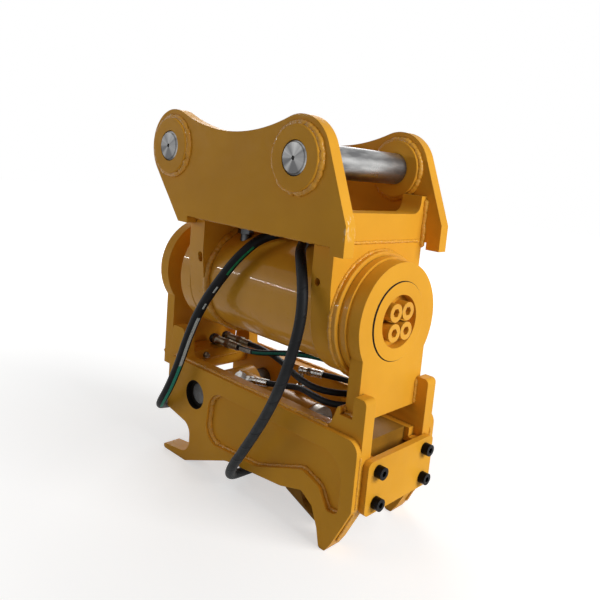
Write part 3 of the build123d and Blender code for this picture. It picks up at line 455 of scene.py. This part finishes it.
class Chain:
    """Turned and hexagonal forms in millimetres, along one or more centrelines, made into one piece."""

    def __init__(self):
        self.corners = []
        self.faces = []

    def lathe(self, start, way, profile, sides=32, spin=0.0):
        """A turned form: each step of its profile is a distance from the start and a radius."""
        way = Vector(way).normalized()
        side = way.orthogonal().normalized()
        across = way.cross(side)
        first = len(self.corners)
        for distance, radius in profile:
            middle = Vector(start) + way * distance
            for k in range(sides):
                angle = 2 * pi * k / sides + spin
                self.corners.append((middle + radius * (cos(angle) * side + sin(angle) * across)) * MM)
        last = first + (len(profile) - 1) * sides
        for here in range(first, last, sides):
            join_rings(self.faces, here, here + sides, sides)
        close_ends(self.faces, first, last, sides)

    def nut(self, start, way, length, flats, spin=0.0):
        """A hexagon with eased corners, from its size across the flats."""
        corner = flats / 2 / cos(pi / 6)
        ease = min(1.2, length / 5)
        rise = 0.6 * ease
        profile = [(0, corner - ease), (rise, corner), (length - rise, corner), (length, corner - ease)]
        self.lathe(start, way, profile, 6, spin)

    def crimp(self, start, way, length, radius, ridges=4):
        """A ferrule pressed on the hose, with rings where the jaws held it."""
        profile = [(0, radius - 1.6), (1.2, radius - 0.3)]
        pitch = (length - 6) / ridges
        for n in range(ridges):
            at = 2.5 + n * pitch
            groove = radius - 0.9
            profile += [(at, radius), (at + 0.6 * pitch, radius)]
            profile += [(at + 0.7 * pitch, groove), (at + 0.92 * pitch, groove)]
        profile += [(length - 2.4, radius), (length - 0.8, radius - 0.2), (length, radius - 1.4)]
        self.lathe(start, way, profile, 36)

    def ball(self, centre, radius):
        angles = [pi * n / 12 for n in range(13)]
        profile = [(-radius * cos(angle), max(radius * sin(angle), 0.05)) for angle in angles]
        self.lathe(centre, UP, profile, 24)

    def piece(self, name, material, body, slot, node=None):
        made = link_mesh(name, self.corners, self.faces, material, 32)
        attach(made, body)
        if node:
            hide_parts(node)
        return made


# Hoses: control points in millimetres, as the CAD source has them. Only the first hose's points from
# the sixth to the eleventh are others, because they follow the photograph more closely.
FIRST_WAY = Vector((-0.418, -0.903, -0.106)).normalized()
SECOND_WAY = Vector((0.558, -0.806, -0.2)).normalized()
ELBOW_Z = 575.0
ELBOW_TO_HOSE = 51.0
FIRST_PORT = Vector((30.0, 20.0, ELBOW_Z))
SECOND_PORT = Vector((50.0, -12.0, ELBOW_Z))
first_start = FIRST_PORT + FIRST_WAY * ELBOW_TO_HOSE
second_start = SECOND_PORT + SECOND_WAY * ELBOW_TO_HOSE
first_route = [
    first_start, first_start + FIRST_WAY * 56, (-42, -124, 514), (-81, -150, 443), (-125, -152, 384),
    (-162, -151, 316), (-191, -151, 244), (-222, -153, 178), (-264, -149, 122), (-320, -106, 92),
    (-346, -22, 72), (-338, 56, 48), (-312, 128, 18), (-250, 168, 11), (-176, 172, 11), (-102, 164, 14),
]
second_route = [
    second_start, second_start + SECOND_WAY * 54, (150, -132, 535), (182, -152, 492), (192, -160, 440),
    (183, -163, 382), (163, -162, 320), (134, -160, 256), (97, -158, 192), (56, -156, 130), (14, -150, 74),
    (-24, -122, 30), (-48, -62, 11), (-46, 10, 11), (-18, 78, 11), (38, 128, 11), (106, 150, 11),
    (176, 148, 14),
]
SLANT = Vector((0, -1, 1)).normalized()
BASE_WAY = Vector((73, 12, 10)).normalized()
ROD_WAY = Vector((31, 17, -2)).normalized()
BANJO_SEAT = Vector((-101, 0, 170)) + SLANT * 46
BANJO = BANJO_SEAT + SLANT * 11
ROD_ELBOW = Vector((26, 21, 258))
BASE_HOSE_AT, ROD_HOSE_AT = 76.0, 50.0
first_lock_start = BANJO + BASE_WAY * BASE_HOSE_AT
second_lock_start = ROD_ELBOW + ROD_WAY * ROD_HOSE_AT
first_lock_end = Vector((-170, -3, 262))
second_lock_end = Vector((-172, 33, 264))
FIRST_CAP_WAY = (Vector((-279, 3, 256.8)) - first_lock_end).normalized()
SECOND_CAP_WAY = (Vector((-281, 42, 256.8)) - second_lock_end).normalized()
first_lock_route = [
    first_lock_start, first_lock_start + BASE_WAY * 42, (62, -28, 240), (106, -46, 251), (150, -64, 256),
    (207, -70, 258), (248, -29, 260), (248, 29, 264), (207, 70, 270), (150, 63, 283), (104, 41, 295),
    (60, 18, 301), (14, 4, 296), (-32, -4, 286), (-80, -6, 273), first_lock_end - FIRST_CAP_WAY * 44,
    first_lock_end,
]
second_lock_route = [
    second_lock_start, second_lock_start + ROD_WAY * 44, (166, 71, 256), (208, 30, 264), (208, -28, 270),
    (166, -69, 275), (108, -62, 277), (56, -38, 274), (6, -12, 270), (-42, 7, 269), (-88, 20, 268),
    second_lock_end - SECOND_CAP_WAY * 40, second_lock_end,
]
TO_CAMERA = (0.62, -0.77, 0.15)
GREEN = (0.015, 0.26, 0.11)
TEAL = (0.04, 0.34, 0.25)
DARK_TEAL = (0.015, 0.17, 0.13)
WHITE = (0.56, 0.62, 0.62)

hose_black = rubber("hose_black", [
    (0.092, 0.172, GREEN, 0.40, 0.036),
    (0.205, 0.222, WHITE, 0.41, 0.028),
    (0.255, 0.272, WHITE, 0.41, 0.028),
    (0.300, 0.440, WHITE, 0.38, 0.055),
    (0.440, 0.590, TEAL, 0.38, 0.055),
])
hose_wrapped = rubber("hose_wrapped", [], WRAPPED_RUBBER, wrap=0.046, rough=0.55, shine=0.16)
lock_black = rubber("lock_hose_black", [
    (0.510, 0.742, DARK_TEAL, 0.50, 0.08),
    (0.748, 0.792, WHITE, 0.50, 0.13),
])
lock_plain = rubber("lock_hose_plain", [])
zinc = metal("zinc", rgb(0.62, 0.62, 0.60), 0.26, stain=rgb(0.34, 0.33, 0.29), stained=0.4)
olive_zinc = metal("olive_zinc", rgb(0.30, 0.27, 0.20), 0.36, stain=rgb(0.16, 0.09, 0.05))
dark_fitting = metal("dark_fitting", rgb(0.09, 0.095, 0.10), 0.34, stain=rgb(0.03, 0.03, 0.03))
cap_black = metal("cap_black", rgb(0.015, 0.015, 0.016), 0.45, metallic=0.0)


def hose_end(name, route, node):
    """Ferrule and swivel nut on a hose's free end."""
    ferrule_len, nut_at, nut_len = 38, 40, 19.5
    start = Vector(route[-1])
    way = (start - Vector(route[-2])).normalized()
    chain = Chain()
    chain.crimp(start, way, ferrule_len, 13.5, 4)
    chain.lathe(start + way * (ferrule_len - 1), way, [(0, 9.5), (3, 9.5)])
    chain.nut(start + way * nut_at, way, nut_len, 23.0)
    chain.lathe(start + way * (nut_at + nut_len - 0.5), way, [(0, 8.5), (0.6, 8.2), (0.9, 8.2)])
    return chain.piece(name, zinc, LOWER, "zinc_steel", node)


first_fitting = hose_end("first_hose_fitting", first_route, "first_hose_end")
second_fitting = hose_end("second_hose_fitting", second_route, "second_hose_end")


def lock_hose_end(title, start, way):
    """Coupling with ferrule, nut, threaded body and collar, and the dust cap on it."""
    ferrule_len, nut_at, body_at, collar_at, cap_at = 32, 33, 48, 86, 98
    flats, pitch, threads = 20.5, 3, 12
    chain = Chain()
    chain.crimp(start, way, ferrule_len, 9.0, 3)
    chain.lathe(start + way * (ferrule_len - 1), way, [(0, 8), (2.5, 8)])
    chain.nut(start + way * nut_at, way, body_at - nut_at, flats)
    body = [(0, 8.6)]
    for n in range(threads):
        body += [(pitch * (n + 0.5), 9.4), (pitch * (n + 1), 8.5)]
    body.append((collar_at - body_at, 9.3))
    chain.lathe(start + way * body_at, way, body)
    chain.nut(start + way * collar_at, way, cap_at - collar_at, flats, 0.4)
    cap = Chain()
    cap.lathe(start + way * cap_at, way, [(0, 11.8), (1, 12.4), (10.2, 12.4), (11.6, 11.4), (12, 10)], 28)
    return [
        chain.piece(title + "_lock_hose_coupling", olive_zinc, LOWER, "zinc_steel", "lock_hose_adapters"),
        cap.piece(title + "_lock_hose_dust_cap", cap_black, LOWER, "black_rubber"),
    ]


first_lock_ends = lock_hose_end("first", first_lock_end, FIRST_CAP_WAY)
second_lock_ends = lock_hose_end("second", second_lock_end, SECOND_CAP_WAY)

FREE_HOSE_WIDTH, FREE_HOSE_LENGTH = 0.021, 1.12
free_hoses = (
    ("first_hose_cover", "first_hose", first_route, hose_black, first_fitting),
    ("second_hose_cover", "second_hose", second_route, hose_wrapped, second_fitting),
)
for name, node, route, material, fitting in free_hoses:
    line = smooth_line(name, route)
    hose = tube(name, line, FREE_HOSE_WIDTH / 2, TO_CAMERA, 0.3, material)
    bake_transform(hose)
    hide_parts(node)

LOCK_HOSE_WIDTH = 0.013
lock_hoses = (
    ("first_lock_hose_cover", "first_lock_hose", first_lock_route, lock_black, 0.80, first_lock_ends),
    ("second_lock_hose_cover", "second_lock_hose", second_lock_route, lock_plain, 0.62, second_lock_ends),
)
for name, node, route, material, length, ends in lock_hoses:
    line = smooth_line(name, route)
    hose = tube(name, line, LOCK_HOSE_WIDTH / 2, TO_CAMERA, 0.8, material, 22)
    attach(hose, LOWER)
    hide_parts(node)


# Fittings on the housing and on the lock cylinder
def elbow_fitting(chain, centre, way, hose_at, seat_z, stem, ferrule, crimp_length):
    """An elbow from its seat up to its centre and out to the hose, with nuts and a ferrule."""
    seat = Vector((centre.x, centre.y, seat_z))
    crimp_at = hose_at - crimp_length
    sunk, nut_len, overlap = 4, 9.5, 9
    chain.nut(seat, UP, 8.0, 2 * stem + 1.5)
    chain.lathe(seat - sunk * UP, UP, [(0, stem - 1.5), (centre.z - seat_z + sunk, stem - 1.5)])
    chain.ball(centre, stem + 0.6)
    chain.lathe(centre, way, [(0, stem - 1), (crimp_at, stem - 1)])
    chain.nut(centre + way * (crimp_at - overlap), way, nut_len, 2 * ferrule - 1.5)
    chain.crimp(centre + way * crimp_at, way, crimp_length, ferrule, 3)


def housing_fittings():
    """Two elbows and a plug on the drive's housing."""
    barrel_top = AXIS_Z + BARREL_R - 1
    plug = Vector((-105.5, -58.0, 540.7))
    stem_low, stem_high = 8, 9
    chain = Chain()
    for centre, way in ((FIRST_PORT, FIRST_WAY), (SECOND_PORT, SECOND_WAY)):
        elbow_fitting(chain, centre, way, ELBOW_TO_HOSE, barrel_top, 11.5, 13.5, 29)
    chain.lathe(plug - stem_low * UP, UP, [(0, 10.8), (stem_low + stem_high, 10.8)])
    chain.nut(plug + stem_high * UP, UP, 12, 30)
    chain.piece("housing_fittings", dark_fitting, UPPER, "zinc_steel", "housing_port_fittings")


def lock_fittings():
    """Banjo on the lock cylinder's base and elbow on its rod end."""
    eye_high, nut_at, neck_at, crimp_at = 22, 16, 27, 38
    cylinder_top = span("lock_cylinder_barrel", "Z")[1]
    chain = Chain()
    chain.lathe(BANJO_SEAT, SLANT, [(0, 11), (1.5, 11), (1.5, 12.8), (20, 12.8), (20.4, 12), (eye_high, 12)])
    chain.nut(BANJO_SEAT + SLANT * eye_high, SLANT, 8, 21)
    chain.lathe(BANJO, BASE_WAY, [(-15.5, 6.5), (-15, 7.4), (14, 7.4), (14, 6.8), (crimp_at, 6.8)])
    chain.nut(BANJO + BASE_WAY * nut_at, BASE_WAY, neck_at - nut_at, 20)
    chain.lathe(BANJO + BASE_WAY * neck_at, BASE_WAY, [(0, 8.5), (4, 8.5), (4.5, 7.2), (10, 7.2)])
    chain.crimp(BANJO + BASE_WAY * crimp_at, BASE_WAY, BASE_HOSE_AT - crimp_at, 9.0, 4)
    elbow_fitting(chain, ROD_ELBOW, ROD_WAY, ROD_HOSE_AT, cylinder_top, 8.0, 9.0, 28)
    chain.piece("lock_cylinder_fittings", zinc, LOWER, "zinc_steel", "lock_port_fittings")


def grease_nipple():
    """Nipple in the cross block, at the side towards the housing."""
    way = Vector((1, 0, 0))
    seat = Vector((BLOCK_RIGHT - 1.5, -46, 232))
    chain = Chain()
    chain.nut(seat, way, 9, 13)
    chain.lathe(seat + 8 * way, way, [(0, 4.6), (7, 4.6), (8, 4.0), (8.2, 2.2)], 20)
    chain.piece("block_grease_nipple", olive_zinc, LOWER, "zinc_steel")


housing_fittings()
lock_fittings()
grease_nipple()


# Weld beads
CORNER_STEPS = 8
BEAD_SIDES = 10
LUMP_STEPS = 4


def rounded(corners):
    """Points round a closed outline, from its corners with their radii."""
    points = []
    count = len(corners)
    for n, (x, z, radius) in enumerate(corners):
        here = Vector((x, z))
        before = (Vector(corners[n - 1][:2]) - here).normalized()
        after = (Vector(corners[(n + 1) % count][:2]) - here).normalized()
        half = before.angle(after) / 2
        reach = radius / tan(half)
        centre = here + (before + after).normalized() * radius / sin(half)
        first, last = here + before * reach - centre, here + after * reach - centre
        for step in range(CORNER_STEPS + 1):
            ray = first.lerp(last, step / CORNER_STEPS)
            points.append(centre + ray.normalized() * radius)
    return points


def even(line, step, closed):
    """The line cut into equal short steps."""
    loop = line + [line[0]] if closed else line
    lengths = [(b - a).length for a, b in zip(loop, loop[1:])]
    total = sum(lengths)
    count = max(4, ceil(total / step))
    points, index, passed = [], 0, 0.0
    for n in range(count if closed else count + 1):
        target = total * n / count
        while index < len(lengths) - 1 and passed + lengths[index] < target:
            passed += lengths[index]
            index += 1
        share = (target - passed) / max(lengths[index], 1e-9)
        points.append(loop[index].lerp(loop[index + 1], min(max(share, 0.0), 1.0)))
    return points


def ring(centre, axis, radius):
    """A closed path: a circle about the frame's X or Y."""
    count = 90
    level = Vector({"X": (0, 1, 0), "Y": (1, 0, 0)}[axis])
    points = []
    for n in range(count):
        angle = radians(360 * n / count)
        points.append(Vector(centre) + radius * (cos(angle) * level + sin(angle) * UP))
    return points, True


def straight(*points):
    """An open path through the points."""
    return [Vector(point) for point in points], False


def welds(name, body, paths, material, seed):
    """Lumpy beads along the paths; each path comes with its radius in millimetres."""
    draw = random.Random(seed)
    corners, faces = [], []
    sides = BEAD_SIDES
    for (line, closed), radius in paths:
        pitch = 1.15 * radius
        points = even(line, pitch / LUMP_STEPS, closed)
        ways = tangents(points, closed)
        side = ways[0].orthogonal().normalized()
        whole = len(points) // LUMP_STEPS
        lumps = [draw.gauss(0, 1) for _ in range(whole + 3)]
        shifts = [Vector([draw.gauss(0, 1) for _ in range(3)]) for _ in range(whole + 3)]
        if closed:
            lumps[whole:] = lumps[:3]
            shifts[whole:] = shifts[:3]
        first = len(corners)
        for n, (point, way) in enumerate(zip(points, ways)):
            side = (side - way * side.dot(way)).normalized()
            across = way.cross(side)
            cell, part = divmod(n, LUMP_STEPS)
            part /= LUMP_STEPS
            lump = lumps[cell] * (1 - part) + lumps[cell + 1] * part
            shift = shifts[cell].lerp(shifts[cell + 1], part)
            ripple = 0.10 * abs(sin(pi * n / LUMP_STEPS))
            size = radius * (0.95 + ripple + 0.085 * lump)
            if not closed:
                end = min(n, len(points) - 1 - n)
                size *= min(1.0, 0.35 + 0.25 * end)
            centre = point + shift * radius * 0.07
            for k in range(sides):
                angle = 2 * pi * k / sides
                bumpy = size * (1 + 0.05 * draw.uniform(-1, 1))
                corners.append((centre + bumpy * (cos(angle) * side + sin(angle) * across)) * MM)
        count = len(points)
        for n in range(count if closed else count - 1):
            here, after = first + n * sides, first + ((n + 1) % count) * sides
            turn = closest_turn(corners, here, after, sides) if n == count - 1 else 0
            join_rings(faces, here, after, sides, turn)
        if not closed:
            close_ends(faces, first, first + (count - 1) * sides, sides)
    piece = link_mesh(name, corners, faces, material, 75)
    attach(piece, body)


def closest_turn(corners, here, after, sides):
    """By how many corners the last ring has to turn to meet the first."""
    gaps = [(corners[here] - corners[after + k]).length for k in range(sides)]
    return gaps.index(min(gaps))


def both_sides(make):
    """The same paths on the near and on the far side."""
    return [path for sign in (-1, 1) for path in make(sign)]


def weld_paint(name):
    """The same enamel on the beads, chipped on their lumps and with painted shade in the corners."""
    s = Shader(name)
    corner = s.add("AmbientOcclusion", samples=4, out="AO", Distance=BEAD_CORNER_REACH)
    coat = s.mix(s.ramp(s.noise(90, 4), 0.35, 0.7), YELLOW_DEEP, YELLOW)
    # Painted shade: ambient occlusion darkens the beads' corners towards dark brown.
    coat = s.mix(s.ramp(corner, 0.75, 0.2, 0.0, 0.8), coat, PAINTED_SHADE_BROWN)
    coat = s.mix(s.ramp(s.noise(300, 5), 0.62, 0.72, 0.0, 0.35), coat, PAINT_CHIP)
    normal = s.bump(s.noise(700, 3), 0.0004)
    rough = s.ramp(s.noise(200, 2), 0.3, 0.7, 0.2, 0.36)
    return s.finish(coat, rough, normal, Coat_Weight=0.20, Coat_Roughness=0.08, Specular_IOR_Level=0.20)


bead_paint = weld_paint("bead_paint")
FILLET = 4.5                # radius of most beads, in millimetres
WIDE_FILLET = 6.5


def boss_paths(sign):
    for x in (LINK_EYE_X, STICK_EYE_X):
        for y in (EAR_IN, EAR_OUT):
            yield ring((x, sign * y, EYE_Z), "Y", BOSS_R + 1.0), 7.0


def ear_paths(sign):
    plate_top, ear_foot = 668.0, 566.0
    left, right = LEFT_PLATE[1], RIGHT_PLATE[0]
    low, high = BASE_PLATE
    y = sign * EAR_IN
    for x in (*RIGHT_PLATE, *LEFT_PLATE):
        if x in (left, right):
            yield straight((x, y, high), (x, y, plate_top)), FILLET
        else:
            yield straight((x, y, ear_foot), (x, y, plate_top)), WIDE_FILLET
    for (start, end), foot in ((RIGHT_PLATE, low + 1.5), (LEFT_PLATE, low)):
        edge = sign * (EAR_IN + 0.5)
        yield straight((start, edge, foot), (end, edge, foot)), FILLET
    yield straight((left, y, high), (right, y, high)), FILLET
    yield straight((left, y, low), (right, y, low)), 4.0


def across_path(x, z, half, radius):
    return straight((x, -half, z), (x, half, z)), radius


def housing_paths():
    left, right, right_face = LEFT_PLATE[1], *RIGHT_PLATE
    low, high = BASE_PLATE
    return [
        (ring((left, 0, AXIS_Z), "X", BARREL_R + 1.0), 8.5),
        (ring((right, 0, AXIS_Z), "X", BARREL_R + 1.0), WIDE_FILLET),
        (ring((right_face, 0, AXIS_Z), "X", RING_R - 1.5), 4.6),
        across_path(right, high, EAR_IN - 3, FILLET),
        across_path(left, high, EAR_IN - 3, FILLET),
        across_path(right_face, low + 5, EAR_IN - 12, 3.0),
    ]


# The window's corners in X and Z with their radii, as the CAD source has them
WINDOW = rounded([
    (-111.5, 198, 45), (292.5, 198, 50), (291.5, 82, 14), (262.5, 80, 10), (238.5, 118, 20),
    (190.5, 134, 30), (59.5, 86, 60), (-121.5, 75, 40),
])
WINDOW_LEFT_END = WINDOW[-CORNER_STEPS - 1:] + WINDOW[:CORNER_STEPS + 1]


def doubler_paths(sign):
    top_end, left_low, right_low, right_high = 238, 112, 104, 206
    leg_from, leg_to = (FRAME_RIGHT - 3, 96), (286, 24)
    y = sign * SIDE_OUT
    yield ([Vector((x, y, z)) for x, z in WINDOW], True), 4.6
    yield ([Vector((x, y, z)) for x, z in WINDOW_LEFT_END], False), 7.5
    yield straight((DOUBLER_LEFT + 8, y, FRAME_TOP), (top_end, y, FRAME_TOP)), 4.6
    yield straight((DOUBLER_LEFT, y, left_low), (DOUBLER_LEFT, y, FRAME_TOP - 12)), 4.2
    yield straight((FRAME_RIGHT - 0.5, y, right_low), (FRAME_RIGHT - 0.5, y, right_high)), 3.0
    yield straight((leg_from[0], y, leg_from[1]), (leg_to[0], y, leg_to[1])), 2.8


def arm_paths(sign):
    low_seam, high_seam, high_end = 255, 308, 309
    left, right = RIGHT_ARM
    inner, outer = sign * SIDE_IN, sign * 96.0
    yield straight((left - 1, outer, ARM_SLOT_Z), (right + 1, outer, ARM_SLOT_Z)), 5.5
    yield straight((left - 1, outer, ARM_SLOT_Z), (left - 1, outer, ARM_SLOT_Z + 14)), 5.0
    yield straight((right + 1, outer, ARM_SLOT_Z), (right + 1, outer, high_end)), FILLET
    yield straight((left, inner, low_seam), (left, inner, ARM_SLOT_Z)), FILLET
    yield straight((right, inner, low_seam), (right, inner, high_seam)), FILLET


def block_paths(sign):
    y = sign * SIDE_IN
    yield straight((BLOCK_LEFT + 16.5, y, BLOCK_TOP), (BLOCK_RIGHT, y, BLOCK_TOP)), FILLET
    yield straight((BLOCK_RIGHT, y, BLOCK_TOP), (BLOCK_RIGHT, y, BLOCK_LOW + 20)), FILLET


block_seam = across_path(BLOCK_RIGHT - 0.5, (BLOCK_TOP + BLOCK_LOW) / 2 + 4, SIDE_IN - 4, 2.6)
welds("boss_welds", UPPER, both_sides(boss_paths), bead_paint, 11)
welds("ear_welds", UPPER, both_sides(ear_paths), bead_paint, 12)
welds("housing_welds", UPPER, housing_paths(), bead_paint, 13)
welds("doubler_welds", LOWER, both_sides(doubler_paths), bead_paint, 14)
welds("arm_welds", LOWER, both_sides(arm_paths), bead_paint, 15)
welds("block_welds", LOWER, both_sides(block_paths) + [block_seam], bead_paint, 16)

# Materials of the CAD nodes
yellow = paint("yellow_enamel")
yellow_gloss = paint("yellow_gloss", gloss=1.0)
yellow_hub = paint("yellow_hub", shade_mask=hub_gap_shade)
yellow_by_pin = paint("yellow_by_pin", shade_mask=pin_hole_shade)
node_materials = {
    "stick_pin": turned_steel("stick_pin_steel", (STICK_EYE_X * MM, 0.0, EYE_Z * MM)),
    "link_pin": turned_steel("link_pin_steel", (LINK_EYE_X * MM, 0.0, EYE_Z * MM)),
    "cylinder_base_pin": metal("oiled_steel", rgb(0.135, 0.135, 0.135), 0.5, 0.6, rgb(0.08, 0.07, 0.06)),
    "lock_gland": metal("gland_steel", rgb(0.70, 0.68, 0.63), 0.42, 0.7,
                        rgb(0.45, 0.41, 0.34), stained=0.25),
    **{side + "_hub_disc": yellow_hub for side in ("right", "left")},
    **{side + plate: yellow_by_pin for side in ("near_", "far_") for plate in ("doubler", "side_plate")},
    **{name: yellow_gloss for name in (
        "tilt_shaft", "housing_barrel", "bearing_ring", "end_cap", "left_end_plate", "cross_block",
        "lock_cylinder_barrel", "end_cap_bolts", "right_hub_screws",
    )},
    "near_ear": paint("yellow_ear", scratched=ear_scratches),
    # The lock hook gets painted shade all over.
    "lock_hook": paint("shaded_hook", painted_shade_share=0.65),
}
slot_materials = {
    "yellow_paint": yellow,
    "machined_steel": turned_steel("machined_steel"),
    "chrome_rod": metal("hard_chrome", rgb(0.80, 0.80, 0.80), 0.10),
    "bronze": metal("bearing_bronze", rgb(0.52, 0.34, 0.14), 0.34, 1.0, rgb(0.28, 0.18, 0.08)),
    "black_steel": metal("black_oxide", rgb(0.010, 0.010, 0.011), 0.40),
    "zinc_steel": zinc,
    "black_rubber": lock_plain,
}
for name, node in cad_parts.items():
    for slot in node.material_slots:
        title = slot.material.name.split(".")[0] if slot.material else ""
        slot.material = node_materials.get(name) or slot_materials.get(title, yellow)


# Floor, lamps and background
AMBIENT = 0.138


def place_floor():
    """A pale floor that takes shadows and shows white to the camera and to reflections."""
    half = 9.0
    corners = [(-half, -half, 0), (half, -half, 0), (half, half, 0), (-half, half, 0)]
    mesh = bpy.data.meshes.new("floor")
    mesh.from_pydata(corners, [], [(0, 1, 2, 3)])
    s = Shader("pale_floor")
    rays = s.add("LightPath").node
    seen = s.math("MAXIMUM", rays.outputs["Is Camera Ray"], rays.outputs["Is Glossy Ray"])
    distance = s.add("VectorMath", s.place, operation="LENGTH", out="Value")
    far = s.ramp(distance, 0.5, 3.2, 0.56, 1.0)
    diffuse = s.add("BsdfDiffuse", Color=rgb(0.62, 0.62, 0.615))
    glow = s.add("Emission", Color=rgb(1, 1, 1), Strength=s.math("MULTIPLY", seen, far))
    s.tree.links.new(s.add("AddShader", diffuse, glow), s.output.inputs["Surface"])
    mesh.materials.append(s.material)
    floor = bpy.data.objects.new("floor", mesh)
    bpy.context.scene.collection.objects.link(floor)


def lamp(name, where, aim, width, height, power):
    data = bpy.data.lights.new(name, "AREA")
    data.shape = "RECTANGLE"
    data.size, data.size_y = width, height
    data.energy = power
    holder = bpy.data.objects.new(name, data)
    way = Vector(aim) - Vector(where)
    holder.matrix_world = Matrix.Translation(where) @ way.to_track_quat("-Z", "Y").to_matrix().to_4x4()
    bpy.context.scene.collection.objects.link(holder)


def light_world():
    """White for camera, glossy and transmission rays, and a low even light for the rest."""
    world = bpy.data.worlds.new("studio")
    bpy.context.scene.world = world
    world.use_nodes = True
    tree = world.node_tree
    tree.nodes.clear()
    rays = tree.nodes.new("ShaderNodeLightPath")
    seen = tree.nodes.new("ShaderNodeMath")
    seen.operation = "MAXIMUM"
    tree.links.new(rays.outputs["Is Camera Ray"], seen.inputs[0])
    tree.links.new(rays.outputs["Is Glossy Ray"], seen.inputs[1])
    either = tree.nodes.new("ShaderNodeMath")
    either.operation = "MAXIMUM"
    tree.links.new(seen.outputs[0], either.inputs[0])
    tree.links.new(rays.outputs["Is Transmission Ray"], either.inputs[1])
    strength = tree.nodes.new("ShaderNodeMapRange")
    strength.inputs["To Min"].default_value = AMBIENT
    tree.links.new(either.outputs[0], strength.inputs["Value"])
    glow = tree.nodes.new("ShaderNodeBackground")
    glow.inputs["Color"].default_value = rgb(1, 1, 1)
    tree.links.new(strength.outputs[0], glow.inputs["Strength"])
    output = tree.nodes.new("ShaderNodeOutputWorld")
    tree.links.new(glow.outputs[0], output.inputs["Surface"])


place_floor()
light_world()
lamp("key", where=(3.4, 0.5, 1.9), aim=(0.0, 0.0, 0.42), width=2.2, height=1.6, power=120)
lamp("fill", where=(-2.4, 1.9, 1.7), aim=(0.0, 0.0, 0.4), width=2.0, height=2.0, power=46)
lamp("strip", where=(-2.3, -2.15, 1.06), aim=(0.05, -0.11, 0.467), width=1.3, height=0.05,
     power=11.5)

bpy.context.scene.view_settings.view_transform = "Standard"
